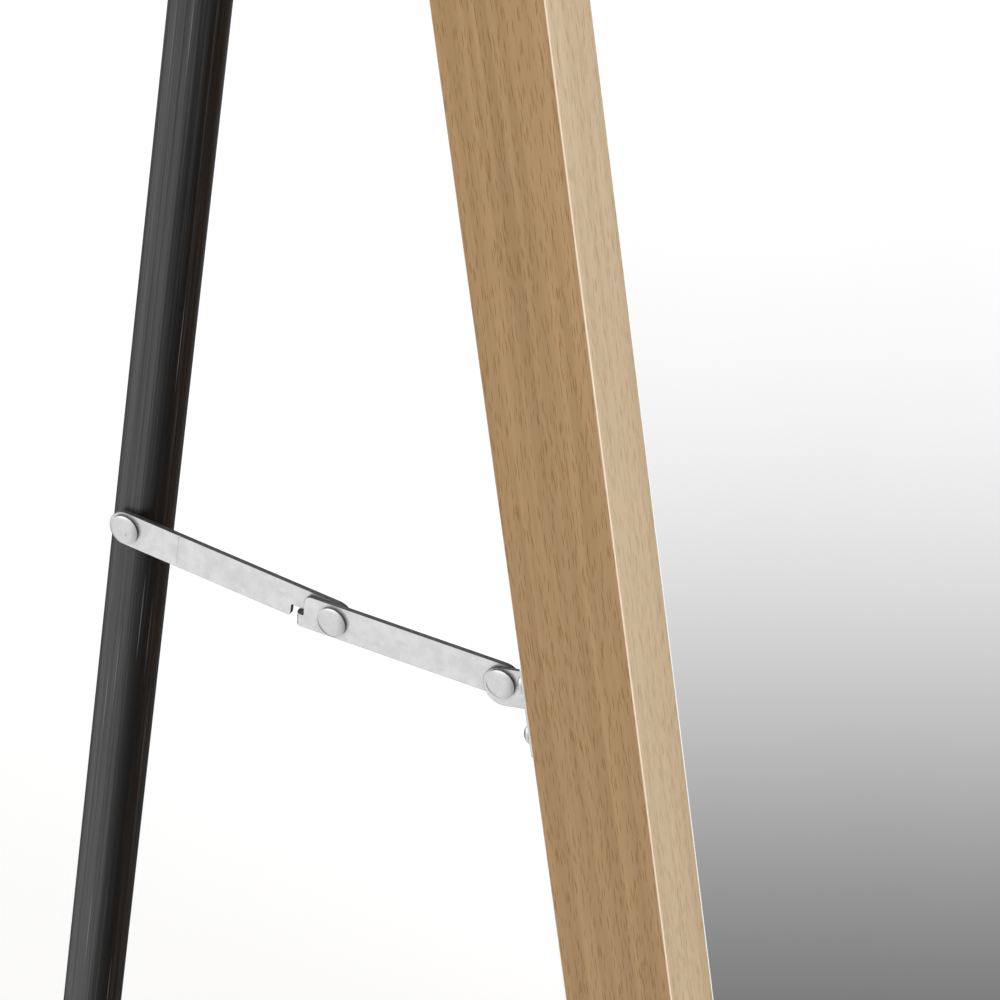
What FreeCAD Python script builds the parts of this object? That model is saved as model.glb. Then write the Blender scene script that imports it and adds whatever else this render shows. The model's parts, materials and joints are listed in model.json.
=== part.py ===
import FreeCAD, Part
import math
import os
import Sketcher

# Easel-back floor mirror: a mitred beech frame that leans back on a U-shaped tube stand.
# Two folding stays, one on each side, join the stand to the back of the frame.
# World axes: +Z up, floor at Z = 0, the mirror faces -Y, left is -X.
# Frame parts are drawn in the frame's own axes (X across, Y out of its back, Z up its
# length, back face at Y = 0, bottom edge at Z = 0) and are then leaned back as one.

Vector = FreeCAD.Vector
doc = FreeCAD.newDocument("floor_mirror")

DIMENSIONS = [
    # wooden frame
    ("frame_length", 1500.0),
    ("frame_width", 500.0),
    ("frame_depth", 37.5),
    ("face_width", 24.2),
    ("ledge_width", 10.0),
    ("arris", 0.5),
    ("lean", 8.0),
    ("setback", -146.7),
    ("dowel_radius", 3.0),
    ("dowel_length", 24.0),
    ("overshoot", 1.0),
    # sheets in the front rebate
    ("glass_thick", 4.0),
    ("glass_bevel", 0.2),
    ("tape_thick", 1.0),
    ("tape_width", 20.0),
    ("tape_length", 400.0),
    ("board_thick", 3.0),
    ("sheet_gap", 0.25),
    # pads under the frame
    ("foot_rise", 4.0),
    ("foot_width", 40.0),
    ("foot_depth", 28.0),
    ("foot_inset", 55.0),
    ("foot_seat", 2.6),
    ("recess_play", 0.6),
    ("recess_depth", 12.0),
    # tube stand
    ("splay", 8.3),
    ("tube_radius", 9.5),
    ("tube_wall", 1.2),
    ("tube_inset", 22.7),
    ("tube_overrun", 15.0),
    ("bend_radius", 60.0),
    ("crossbar_height", 11.5),
    ("sleeve_radius", 12.5),
    ("sleeve_length", 46.0),
    ("sleeve_inset", 90.0),
    ("cap_flange", 2.0),
    ("cap_plug", 8.5),
    # hinge at the top of the stand
    ("hinge_offset", 23.0),
    ("hinge_plate", 2.0),
    ("hinge_ear", 10.0),
    ("hinge_ear_drop", 0.0),
    ("hinge_top", 14.0),
    ("hinge_bottom", 34.0),
    ("hinge_pin", 3.0),
    ("hinge_head", 6.0),
    ("hinge_head_height", 2.4),
    ("hinge_tail_height", 1.5),
    ("hinge_ear_gap", 0.3),
    ("hinge_screw_high", 6.0),
    ("hinge_screw_middle", -8.0),
    ("hinge_screw_low", -26.0),
    # folding stay
    ("stay_station", 601.0),
    ("stay_offset", 12.5),
    ("stay_plate", 1.2),
    ("stay_ear", 6.5),
    ("stay_ear_drop", 1.3),
    ("stay_top", 10.6),
    ("stay_bottom", 20.6),
    ("ear_inset", 8.2),
    ("flange_inset", 1.2),
    ("stay_screw_high", 3.6),
    ("stay_screw_low", -13.3),
    ("leg_link", 75.7),
    ("frame_link", 59.2),
    ("leg_link_slope", 8.0),
    ("frame_link_slope", 3.4),
    ("link_width", 11.6),
    ("link_thick", 1.6),
    ("link_gap", 0.15),
    ("notch_start", 15.5),
    ("notch_width", 6.0),
    ("notch_depth", 4.3),
    ("tail_length", 10.3),
    ("tail_corner", 3.0),
    ("tab_reach", 13.3),
    ("tab_top", 1.45),
    ("pin_radius", 2.4),
    ("head_radius", 4.9),
    ("head_height", 2.4),
    ("tail_radius", 3.0),
    ("tail_height", 1.0),
    ("tail_gap", 0.5),
    ("running_fit", 0.05),
    # wood screws
    ("screw_radius", 1.9),
    ("screw_length", 16.0),
    ("screw_head", 3.4),
    ("screw_head_height", 2.8),
    ("screw_inset", 4.6),
    ("board_screw_radius", 1.4),
    ("board_screw_head", 2.8),
    ("board_screw_head_height", 1.6),
    ("board_screw_length", 12.0),
]

# Shares of a rivet head's height and radius taken by its rim and its crown's flat.
RIM_HEIGHT, CROWN_HEIGHT, CROWN_FLAT = 0.42, 0.58, 0.62
# The same for a pan-head screw.
PAN_RIM, PAN_CROWN, PAN_FLAT = 0.6, 0.4, 0.6
# Depths of the two dowels in a mitre, as shares of the frame's depth.
DOWEL_DEPTHS = (0.25, 0.62)
# Tape columns and rows, and screws along a stile, as shares of the frame's size.
TAPE_COLUMNS = {"left": -0.36, "right": 0.36}
TAPE_ROWS = (0.2, 0.5, 0.8)
BOARD_SCREW_ROWS = (0.08, 0.29, 0.5, 0.71, 0.92)
# Radius of the hinge rivet's tail, as a multiple of its pin's.
HINGE_TAIL_FLARE = 1.5
# Tube plug: share of its flange taken by each layer, and the crown's narrow end.
CAP_LAYER, CAP_CROWN = 0.5, 0.8

sheet = doc.addObject("Spreadsheet::Sheet", "dims")
for row, (alias, value) in enumerate(DIMENSIONS, start=1):
    sheet.set(f"A{row}", alias)
    sheet.set(f"B{row}", str(value))
    sheet.setAlias(f"B{row}", alias)
doc.recompute()

# Derived lengths, written as expressions of the sheet's cells.
LEFT_FACE = "-dims.frame_width / 2"
MEMBER = "(dims.face_width + dims.ledge_width)"
REBATE = "(dims.glass_thick + dims.tape_thick + dims.board_thick)"
FOLD = "(dims.lean + dims.splay)"
PIN_HOLE = "dims.pin_radius + dims.running_fit"
FRAME_LINK_INSET = "(dims.ear_inset + dims.stay_plate + dims.link_gap)"
LEG_LINK_INSET = f"({FRAME_LINK_INSET} + dims.link_thick + dims.link_gap)"
LEG_OFFSET = (
    "(dims.stay_offset + dims.frame_link * cos(dims.frame_link_slope + dims.lean)"
    " + dims.leg_link * cos(dims.leg_link_slope + dims.lean))"
)
HINGE_TO_STAY = f"(({LEG_OFFSET} - dims.hinge_offset) / sin({FOLD}))"
HINGE_EAR_INNER = "(dims.tube_inset - dims.tube_radius - dims.hinge_ear_gap)"


# ---------------------------------------------------------------- drawing helpers

def inset(distance):
    """X of a plane this far inboard of the frame's left side face."""
    return f"{LEFT_FACE} + ({distance})"


def place(item, x="0", y="0", z="0", axis=(1, 0, 0), turn="0"):
    item.Placement = FreeCAD.Placement(Vector(), FreeCAD.Rotation(Vector(*axis), 1))
    item.setExpression("Placement.Base.x", x)
    item.setExpression("Placement.Base.y", y)
    item.setExpression("Placement.Base.z", z)
    item.setExpression("Placement.Rotation.Angle", turn)
    return item


def box(name, size, corner):
    block = doc.addObject("Part::Box", name)
    for side, expression in zip(("Length", "Width", "Height"), size):
        block.setExpression(side, expression)
    return place(block, *corner)


def along(direction):
    """Axis and turn that swing a +Z primitive to +X, +Y or +Z."""
    return {"x": ((0, 1, 0), "90"), "y": ((1, 0, 0), "-90"), "z": ((0, 0, 1), "0")}[direction]


def rod(name, radius, length, start, direction="x"):
    axis, turn = along(direction)
    cylinder = doc.addObject("Part::Cylinder", name)
    cylinder.setExpression("Radius", radius)
    cylinder.setExpression("Height", length)
    return place(cylinder, *start, axis=axis, turn=turn)


def taper(name, radii, length, start, direction="x"):
    axis, turn = along(direction)
    cone = doc.addObject("Part::Cone", name)
    cone.setExpression("Radius1", radii[0])
    cone.setExpression("Radius2", radii[1])
    cone.setExpression("Height", length)
    return place(cone, *start, axis=axis, turn=turn)


def join(name, pieces):
    union = doc.addObject("Part::MultiFuse", name)
    union.Shapes = pieces
    return union


def remove(name, base, tools):
    cutter = tools[0] if len(tools) == 1 else join(name + "_tools", tools)
    result = doc.addObject("Part::Cut", name)
    result.Base = base
    result.Tool = cutter
    return result


def group(name, pieces):
    """Several separate solids of one kind in one node."""
    compound = doc.addObject("Part::Compound", name)
    compound.Links = pieces
    return compound


def mirrored(name, source):
    """The right-hand twin of a left-hand piece."""
    twin = doc.addObject("Part::Mirroring", name)
    twin.Source = source
    twin.Normal = Vector(1, 0, 0)
    return twin


def origin_plane(body, role):
    return next(p for p in body.Origin.OriginFeatures if p.Role == role)


def outline(body, name, plane, corners):
    """A closed polygon whose corners are bound to pairs of expressions."""
    sketch = body.newObject("Sketcher::SketchObject", name)
    sketch.AttachmentSupport = [(origin_plane(body, plane), "")]
    sketch.MapMode = "FlatFace"
    count = len(corners)
    start = [
        Vector(math.cos(2 * math.pi * k / count), math.sin(2 * math.pi * k / count), 0)
        for k in range(count)
    ]
    for k in range(count):
        sketch.addGeometry(Part.LineSegment(start[k], start[(k + 1) % count]))
    for k in range(count):
        sketch.addConstraint(Sketcher.Constraint("Coincident", k, 2, (k + 1) % count, 1))
    for k, (across, up) in enumerate(corners):
        for kind, expression in (("DistanceX", across), ("DistanceY", up)):
            number = sketch.addConstraint(Sketcher.Constraint(kind, k, 1, 1.0))
            sketch.setExpression(f"Constraints[{number}]", expression)
    return sketch


def pad(body, sketch, length, midplane=False, reverse=False):
    feature = body.newObject("PartDesign::Pad", sketch.Name + "_pad")
    feature.Profile = sketch
    feature.setExpression("Length", length)
    feature.Midplane = midplane
    feature.Reversed = reverse
    return feature


def cut_through(body, sketch):
    feature = body.newObject("PartDesign::Pocket", sketch.Name + "_pocket")
    feature.Profile = sketch
    feature.Type = "ThroughAll"
    feature.Midplane = True
    return feature


# ---------------------------------------------------------------- places in the world

def frame_point(offset, station):
    """World (y, z) of a point this far behind the frame's back and this far up it."""
    y = f"dims.setback + ({offset}) * cos(dims.lean) + ({station}) * sin(dims.lean)"
    z = f"dims.foot_rise + ({station}) * cos(dims.lean) - ({offset}) * sin(dims.lean)"
    return y, z


def step(point, length, slope):
    """World (y, z) reached from a point by going this far at this slope."""
    y = f"{point[0]} + ({length}) * cos(({slope}))"
    z = f"{point[1]} + ({length}) * sin(({slope}))"
    return y, z


BRACKET_PIVOT = frame_point("dims.stay_offset", "dims.stay_station")
KNEE_PIVOT = step(BRACKET_PIVOT, "dims.frame_link", "dims.frame_link_slope")
LEG_PIVOT = step(KNEE_PIVOT, "dims.leg_link", "dims.leg_link_slope")
HINGE_PIVOT = step(LEG_PIVOT, HINGE_TO_STAY, "90 + dims.splay")
HINGE_STATION = (
    "(dims.stay_station + dims.frame_link * sin(dims.frame_link_slope + dims.lean)"
    " + dims.leg_link * sin(dims.leg_link_slope + dims.lean)"
    f" + {HINGE_TO_STAY} * cos({FOLD}))"
)
LEG_LENGTH = f"(({HINGE_PIVOT[1]} - dims.crossbar_height) / cos(dims.splay))"


def lean_back(item):
    return place(item, y="dims.setback", z="dims.foot_rise", turn="-dims.lean")


def on_stand(item):
    return place(item, y=HINGE_PIVOT[0], z=HINGE_PIVOT[1], turn="dims.splay")


# ---------------------------------------------------------------- screws, pins and rivets

def button_head(name, radius, height, x, y, z):
    """Domed head on the outboard side of the plane x, as a rim and a bevelled crown."""
    rim_start = f"{x} - {RIM_HEIGHT} * {height}"
    rim = rod(name + "_rim", radius, f"{RIM_HEIGHT} * {height}", (rim_start, y, z))
    crown = taper(
        name + "_crown",
        (f"{CROWN_FLAT} * {radius}", radius),
        f"{CROWN_HEIGHT} * {height}",
        (f"{x} - {height}", y, z),
    )
    return [rim, crown]


def back_screw(name, x, station, plate):
    """Pan-head wood screw driven into the back of a stile through a plate."""
    rim_height = f"{PAN_RIM} * dims.screw_head_height"
    rim = rod(name + "_rim", "dims.screw_head", rim_height, (x, plate, station), "y")
    crown = taper(
        name + "_crown",
        ("dims.screw_head", f"{PAN_FLAT} * dims.screw_head"),
        f"{PAN_CROWN} * dims.screw_head_height",
        (x, f"{plate} + {rim_height}", station),
        "y",
    )
    shank = rod(
        name + "_shank",
        "dims.screw_radius",
        "dims.screw_length",
        (x, f"{plate} - dims.screw_length", station),
        "y",
    )
    return join(name, [rim, crown, shank])


def screw_bore(name, x, station, plate):
    length = f"dims.screw_length - {plate} + 2 * dims.overshoot"
    start = (x, f"-({length}) + dims.overshoot", station)
    return rod(name, "dims.screw_radius + dims.running_fit", length, start, "y")


SCREW_X = inset("dims.screw_inset")
STAY_SCREWS = [f"dims.stay_station + dims.stay_screw_{level}" for level in ("high", "low")]
HINGE_SCREWS = [
    f"{HINGE_STATION} + dims.hinge_screw_{level}" for level in ("high", "middle", "low")
]

BOARD_SCREW_X = inset("dims.face_width + dims.ledge_width / 2")
BOARD_SCREW_STATIONS = [f"dims.frame_length * {share}" for share in BOARD_SCREW_ROWS]
BOARD_FRONT = f"(-dims.frame_depth + {REBATE} - dims.board_thick)"


def board_screw(name, x, station, spare=""):
    """Countersunk screw through the backing board into the ledge behind it."""
    head = taper(
        name + "_head",
        (f"dims.board_screw_head {spare}", f"dims.board_screw_radius {spare}"),
        "dims.board_screw_head_height",
        (x, BOARD_FRONT, station),
        "y",
    )
    shank = rod(
        name + "_shank",
        f"dims.board_screw_radius {spare}",
        f"dims.board_screw_length {spare}",
        (x, BOARD_FRONT, station),
        "y",
    )
    return join(name, [head, shank])


def board_bores(name, x, stations):
    return [
        board_screw(f"{name}_{k}", x, station, "+ dims.running_fit")
        for k, station in enumerate(stations)
    ]


# ---------------------------------------------------------------- wooden frame

def moulding_profile(outer, inward, depth_first):
    """Corners of the moulding's section: outer face, front face, rebate and ledge."""
    face = f"{outer} + ({inward} * dims.face_width)"
    inner = f"{outer} + ({inward} * {MEMBER})"
    eased = f"{outer} + ({inward} * dims.arris)"
    front = "-dims.frame_depth"
    ledge = f"-dims.frame_depth + {REBATE}"
    corners = [
        (outer, "-dims.arris"),
        (outer, f"{front} + dims.arris"),
        (eased, front),
        (face, front),
        (face, ledge),
        (inner, ledge),
        (inner, "0"),
        (eased, "0"),
    ]
    if depth_first:
        return [(depth, across) for across, depth in corners]
    return corners


def dowel_centre(corner_x, corner_z, toward_x, toward_z):
    half = f"{MEMBER} / 2"
    return f"{corner_x} + ({toward_x} * {half})", f"{corner_z} + ({toward_z} * {half})"


def corner_dowels(name, side_sign, top, spare=""):
    """The two dowels across one mitre; side_sign is -1 at the left, top is True above."""
    corner_x = f"({side_sign} * dims.frame_width / 2)"
    corner_z = "dims.frame_length" if top else "0"
    toward_z = -1 if top else 1
    x, z = dowel_centre(corner_x, corner_z, -side_sign, toward_z)
    tilt = 45 if (side_sign < 0) == top else 135
    pieces = []
    for k, depth in enumerate(DOWEL_DEPTHS):
        dowel = doc.addObject("Part::Cylinder", f"{name}_{k}")
        dowel.setExpression("Radius", f"dims.dowel_radius {spare}")
        dowel.setExpression("Height", f"dims.dowel_length {spare} {spare}")
        half = f"(dims.dowel_length {spare} {spare}) / 2"
        place(
            dowel,
            f"{x} - {half} * sin({tilt})",
            f"-{depth} * dims.frame_depth",
            f"{z} - {half} * cos({tilt})",
            axis=(0, 1, 0),
            turn=str(tilt),
        )
        pieces.append(dowel)
    return pieces


def make_stile():
    body = doc.addObject("PartDesign::Body", "stile_blank")
    section = outline(body, "stile_section", "XY_Plane", moulding_profile(LEFT_FACE, 1, False))
    pad(body, section, "dims.frame_length")
    inner = inset(f"{MEMBER} + dims.overshoot")
    outer = inset("-dims.overshoot")
    for end, (tip, heel) in {
        "bottom": ("-dims.overshoot", f"{MEMBER} + dims.overshoot"),
        "top": (
            "dims.frame_length + dims.overshoot",
            f"dims.frame_length - {MEMBER} - dims.overshoot",
        ),
    }.items():
        mitre = outline(
            body, f"stile_{end}_mitre", "XZ_Plane", [(outer, tip), (inner, tip), (inner, heel)]
        )
        cut_through(body, mitre)
    bores = [
        screw_bore(f"stay_bore_{k}", SCREW_X, station, "dims.stay_plate")
        for k, station in enumerate(STAY_SCREWS)
    ]
    bores += [
        screw_bore(f"hinge_bore_{k}", SCREW_X, station, "dims.hinge_plate")
        for k, station in enumerate(HINGE_SCREWS)
    ]
    bores += board_bores("stile_board_bore", BOARD_SCREW_X, BOARD_SCREW_STATIONS)
    bores += corner_dowels("stile_dowel_bottom", -1, False, "+ dims.running_fit")
    bores += corner_dowels("stile_dowel_top", -1, True, "+ dims.running_fit")
    return lean_back(remove("stile_left", body, bores))


def make_rail(name, top):
    """Bottom or top rail; its outer face is the frame's end."""
    outer = "dims.frame_length" if top else "0"
    inward = -1 if top else 1
    body = doc.addObject("PartDesign::Body", name + "_blank")
    section = outline(body, name + "_section", "YZ_Plane", moulding_profile(outer, inward, True))
    pad(body, section, "dims.frame_width", midplane=True)
    for label, sign in (("left", -1), ("right", 1)):
        corner = f"({sign} * dims.frame_width / 2)"
        beyond = f"{corner} + {sign} * dims.overshoot"
        heel_x = f"{corner} - {sign} * ({MEMBER} + dims.overshoot)"
        tip_z = f"{outer} - {inward} * dims.overshoot"
        heel_z = f"{outer} + {inward} * ({MEMBER} + dims.overshoot)"
        mitre = outline(
            body,
            f"{name}_{label}_mitre",
            "XZ_Plane",
            [(beyond, tip_z), (heel_x, heel_z), (beyond, heel_z)],
        )
        cut_through(body, mitre)
    station = f"{outer} + {inward} * (dims.face_width + dims.ledge_width / 2)"
    bores = board_bores(name + "_board_bore", "0", [station])
    for label, sign in (("left", -1), ("right", 1)):
        bores += corner_dowels(f"{name}_dowel_{label}", sign, top, "+ dims.running_fit")
    if not top:
        bores += [foot_screw(f"foot_bore_{sign}", sign, "+ dims.running_fit") for sign in (-1, 1)]
    return lean_back(remove(name, body, bores))


def make_dowels():
    pieces = []
    for label, sign in (("left", -1), ("right", 1)):
        for level, top in (("bottom", False), ("top", True)):
            pieces += corner_dowels(f"dowel_{level}_{label}", sign, top)
    return lean_back(group("mitre_dowels", pieces))


# ---------------------------------------------------------------- glass and backing

SHEET_LOW = "(dims.face_width + dims.sheet_gap)"
SHEET_WIDTH = f"(dims.frame_width - 2 * {SHEET_LOW})"
SHEET_LENGTH = f"(dims.frame_length - 2 * {SHEET_LOW})"


def make_glass():
    body = doc.addObject("PartDesign::Body", "mirror_glass")
    left, right = f"-{SHEET_WIDTH} / 2", f"{SHEET_WIDTH} / 2"
    low, high = SHEET_LOW, f"dims.frame_length - {SHEET_LOW}"
    sheet_outline = outline(
        body, "glass_outline", "XZ_Plane", [(left, low), (right, low), (right, high), (left, high)]
    )
    slab = pad(body, sheet_outline, "dims.glass_thick")
    doc.recompute()
    front = min(range(len(slab.Shape.Faces)), key=lambda k: slab.Shape.Faces[k].CenterOfMass.y)
    bevel = body.newObject("PartDesign::Chamfer", "glass_edge_bevel")
    bevel.Base = (slab, [f"Face{front + 1}"])
    bevel.setExpression("Size", "dims.glass_bevel")
    return place(
        body,
        y=frame_point("-dims.frame_depth + dims.glass_thick", "0")[0],
        z=frame_point("-dims.frame_depth + dims.glass_thick", "0")[1],
        turn="-dims.lean",
    )


def make_tape():
    strips = []
    for column, share in TAPE_COLUMNS.items():
        for k, centre in enumerate(TAPE_ROWS):
            strips.append(
                box(
                    f"tape_{column}_{k}",
                    ("dims.tape_width", "dims.tape_thick", "dims.tape_length"),
                    (
                        f"{share} * dims.frame_width - dims.tape_width / 2",
                        "-dims.frame_depth + dims.glass_thick",
                        f"{centre} * dims.frame_length - dims.tape_length / 2",
                    ),
                )
            )
    return lean_back(group("mirror_tape", strips))


def board_screw_places():
    right_x = f"-({BOARD_SCREW_X})"
    places = [(BOARD_SCREW_X, station) for station in BOARD_SCREW_STATIONS]
    places += [(right_x, station) for station in BOARD_SCREW_STATIONS]
    low = "dims.face_width + dims.ledge_width / 2"
    places += [("0", low), ("0", f"dims.frame_length - ({low})")]
    return places


def make_board():
    panel = box(
        "board_blank",
        (SHEET_WIDTH, "dims.board_thick", SHEET_LENGTH),
        (f"-{SHEET_WIDTH} / 2", BOARD_FRONT, SHEET_LOW),
    )
    bores = [
        board_screw(f"board_bore_{k}", x, station, "+ dims.running_fit")
        for k, (x, station) in enumerate(board_screw_places())
    ]
    return lean_back(remove("backing_board", panel, bores))


def make_board_screws():
    screws = [
        board_screw(f"board_screw_{k}", x, station)
        for k, (x, station) in enumerate(board_screw_places())
    ]
    return lean_back(group("backing_board_screws", screws))


# ---------------------------------------------------------------- pads under the frame

FOOT_FRONT = "(-(dims.frame_depth + dims.foot_depth) / 2)"
FOOT_BACK = "(-(dims.frame_depth - dims.foot_depth) / 2)"


def floor_station(offset):
    """Frame station at which this offset meets the floor."""
    return f"({offset}) * tan(dims.lean) - dims.foot_rise / cos(dims.lean)"


def foot_screw(name, sign, spare=""):
    x = f"{sign} * (dims.frame_width / 2 - dims.foot_inset)"
    start = (x, "-dims.frame_depth / 2", "-dims.foot_seat - dims.screw_head_height")
    head = rod(
        name + "_head",
        f"dims.screw_head {spare}",
        f"dims.screw_head_height {spare}",
        start,
        "z",
    )
    shank = rod(
        name + "_shank",
        f"dims.screw_radius {spare}",
        f"dims.screw_length {spare}",
        start,
        "z",
    )
    return join(name, [head, shank])


def make_foot():
    """Wedge pad that is flat on the floor while the frame leans."""
    body = doc.addObject("PartDesign::Body", "foot_blank")
    wedge = outline(
        body,
        "foot_outline",
        "YZ_Plane",
        [
            (FOOT_FRONT, "0"),
            (FOOT_FRONT, floor_station(FOOT_FRONT)),
            (FOOT_BACK, floor_station(FOOT_BACK)),
            (FOOT_BACK, "0"),
        ],
    )
    pad(body, wedge, "dims.foot_width", midplane=True)
    place(body, x="-(dims.frame_width / 2 - dims.foot_inset)")
    x = "-(dims.frame_width / 2 - dims.foot_inset)"
    recess = rod(
        "foot_recess",
        "dims.screw_head + dims.recess_play",
        "dims.recess_depth",
        (x, "-dims.frame_depth / 2", "-dims.foot_seat - dims.recess_depth"),
        "z",
    )
    bore = foot_screw("foot_screw_bore", -1, "+ dims.running_fit")
    return lean_back(remove("frame_foot_left", body, [recess, bore]))


def make_foot_screws():
    screws = [foot_screw("foot_screw_left", -1), foot_screw("foot_screw_right", 1)]
    return lean_back(group("frame_foot_screws", screws))


# ---------------------------------------------------------------- brackets on the back

def make_bracket(name, station, pivot, plate, ear, drop, ear_inner, top, bottom, pin, screws):
    """L-shaped plate: a flange on the stile and an ear whose round end is below its pivot."""
    ear_middle = f"({station} - {drop})"
    flange = box(
        name + "_flange",
        (f"{ear_inner} - dims.flange_inset", plate, f"{top} + {bottom}"),
        (inset("dims.flange_inset"), "0", f"{station} - {bottom}"),
    )
    web = box(
        name + "_web",
        (plate, pivot, f"2 * {ear}"),
        (inset(f"{ear_inner} - {plate}"), "0", f"{ear_middle} - {ear}"),
    )
    nose = rod(name + "_nose", ear, plate, (inset(f"{ear_inner} - {plate}"), pivot, ear_middle))
    bores = [
        rod(
            name + "_pivot_hole",
            f"{pin} + dims.running_fit",
            f"{plate} + 2 * dims.overshoot",
            (inset(f"{ear_inner} - {plate} - dims.overshoot"), pivot, station),
        )
    ]
    for k, place_up in enumerate(screws):
        bores.append(
            rod(
                f"{name}_screw_hole_{k}",
                "dims.screw_radius + dims.running_fit",
                f"{plate} + 2 * dims.overshoot",
                (SCREW_X, "-dims.overshoot", place_up),
                "y",
            )
        )
    return lean_back(remove(name, join(name + "_blank", [flange, web, nose]), bores))


def make_bracket_screws(name, stations, plate):
    pieces = []
    for label, x in (("left", SCREW_X), ("right", f"-({SCREW_X})")):
        pieces += [
            back_screw(f"{name}_{label}_{k}", x, station, plate)
            for k, station in enumerate(stations)
        ]
    return lean_back(group(name, pieces))


def make_hinge_rivet():
    """Pin through the hinge ear and both walls of the tube."""
    outer = inset(f"{HINGE_EAR_INNER} - dims.hinge_plate")
    reach = "dims.hinge_plate + dims.hinge_ear_gap + 2 * dims.tube_radius + dims.tail_gap"
    point = ("dims.hinge_offset", HINGE_STATION)
    pin = rod("hinge_pin_left", "dims.hinge_pin", reach, (outer, *point))
    tail = rod(
        "hinge_tail_left",
        f"{HINGE_TAIL_FLARE} * dims.hinge_pin",
        "dims.hinge_tail_height",
        (f"{outer} + {reach}", *point),
    )
    head = button_head(
        "hinge_head_left", "dims.hinge_head", "dims.hinge_head_height", outer, *point
    )
    return lean_back(join("hinge_rivet_left", head + [pin, tail]))


def make_bracket_rivet():
    """Stay pivot in the bracket ear; its tail is set flush in the link."""
    outer = inset("dims.ear_inset")
    reach = "dims.stay_plate + dims.link_gap + dims.link_thick"
    point = ("dims.stay_offset", "dims.stay_station")
    pin = rod("stay_pin_left", "dims.pin_radius", reach, (outer, *point))
    head = button_head(
        "stay_head_left", "dims.head_radius", "dims.head_height", outer, *point
    )
    return lean_back(join("stay_bracket_rivet_left", head + [pin]))


# ---------------------------------------------------------------- tube stand

LEG_X = inset("dims.tube_inset")


def make_tube():
    """U-shaped tube swept from the left leg's top, round the crossbar, to the right."""
    body = doc.addObject("PartDesign::Body", "tube_blank")
    path = body.newObject("Sketcher::SketchObject", "tube_path")
    path.AttachmentSupport = [(origin_plane(body, "XZ_Plane"), "")]
    path.MapMode = "FlatFace"
    drawn = dict(DIMENSIONS)
    leg = drawn["frame_width"] / 2 - drawn["tube_inset"]
    top, bend = drawn["tube_overrun"], drawn["bend_radius"]
    low = -math.ceil(drawn["stay_station"] + drawn["bend_radius"])
    path.addGeometry(Part.LineSegment(Vector(-leg, top, 0), Vector(-leg, low + bend, 0)))
    left_bend = Part.Circle(Vector(bend - leg, low + bend, 0), Vector(0, 0, 1), bend)
    path.addGeometry(Part.ArcOfCircle(left_bend, math.pi, 1.5 * math.pi))
    path.addGeometry(Part.LineSegment(Vector(bend - leg, low, 0), Vector(leg - bend, low, 0)))
    right_bend = Part.Circle(Vector(leg - bend, low + bend, 0), Vector(0, 0, 1), bend)
    path.addGeometry(Part.ArcOfCircle(right_bend, 1.5 * math.pi, 2 * math.pi))
    path.addGeometry(Part.LineSegment(Vector(leg, low + bend, 0), Vector(leg, top, 0)))
    for first, first_end, second, second_end in (
        (0, 2, 1, 1),
        (1, 2, 2, 1),
        (2, 2, 3, 1),
        (3, 2, 4, 1),
    ):
        path.addConstraint(
            Sketcher.Constraint("Tangent", first, first_end, second, second_end)
        )
    path.addConstraint(Sketcher.Constraint("Vertical", 0))
    path.addConstraint(Sketcher.Constraint("Horizontal", 2))
    path.addConstraint(Sketcher.Constraint("Vertical", 4))
    for kind, item, end, expression in (
        ("DistanceX", 0, 1, LEG_X),
        ("DistanceY", 0, 1, "dims.tube_overrun"),
        ("DistanceY", 2, 1, f"-{LEG_LENGTH}"),
        ("DistanceX", 4, 2, f"-({LEG_X})"),
        ("DistanceY", 4, 2, "dims.tube_overrun"),
    ):
        value = {"DistanceX": -leg if item == 0 else leg, "DistanceY": low if item == 2 else top}
        number = path.addConstraint(Sketcher.Constraint(kind, item, end, value[kind]))
        path.setExpression(f"Constraints[{number}]", expression)
    for arc in (1, 3):
        number = path.addConstraint(Sketcher.Constraint("Radius", arc, bend))
        path.setExpression(f"Constraints[{number}]", "dims.bend_radius")

    section = body.newObject("Sketcher::SketchObject", "tube_section")
    section.AttachmentSupport = [(origin_plane(body, "XY_Plane"), "")]
    section.MapMode = "FlatFace"
    section.setExpression("AttachmentOffset.Base.x", LEG_X)
    section.setExpression("AttachmentOffset.Base.z", "dims.tube_overrun")
    for radius, expression in (
        (drawn["tube_radius"], "dims.tube_radius"),
        (drawn["tube_radius"] - drawn["tube_wall"], "dims.tube_radius - dims.tube_wall"),
    ):
        ring = section.addGeometry(Part.Circle(Vector(), Vector(0, 0, 1), radius))
        section.addConstraint(Sketcher.Constraint("Coincident", ring, 3, -1, 1))
        number = section.addConstraint(Sketcher.Constraint("Radius", ring, radius))
        section.setExpression(f"Constraints[{number}]", expression)
    sweep = body.newObject("PartDesign::AdditivePipe", "tube_sweep")
    sweep.Profile = section
    sweep.Spine = path

    bores = []
    reach = "(dims.tube_radius + dims.overshoot)"
    for label, sign in (("left", 1), ("right", -1)):
        outside = f"{sign} * ({LEG_X}) - {reach}"
        wall_start = outside if sign > 0 else f"-({LEG_X})"
        bores += [
            rod(
                f"hinge_hole_{label}",
                "dims.hinge_pin + dims.running_fit",
                f"2 * {reach}",
                (outside, "0", "0"),
            ),
            rod(f"stay_hole_{label}", PIN_HOLE, reach, (wall_start, "0", f"-{HINGE_TO_STAY}")),
        ]
    return on_stand(remove("stand_tube", body, bores))


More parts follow.
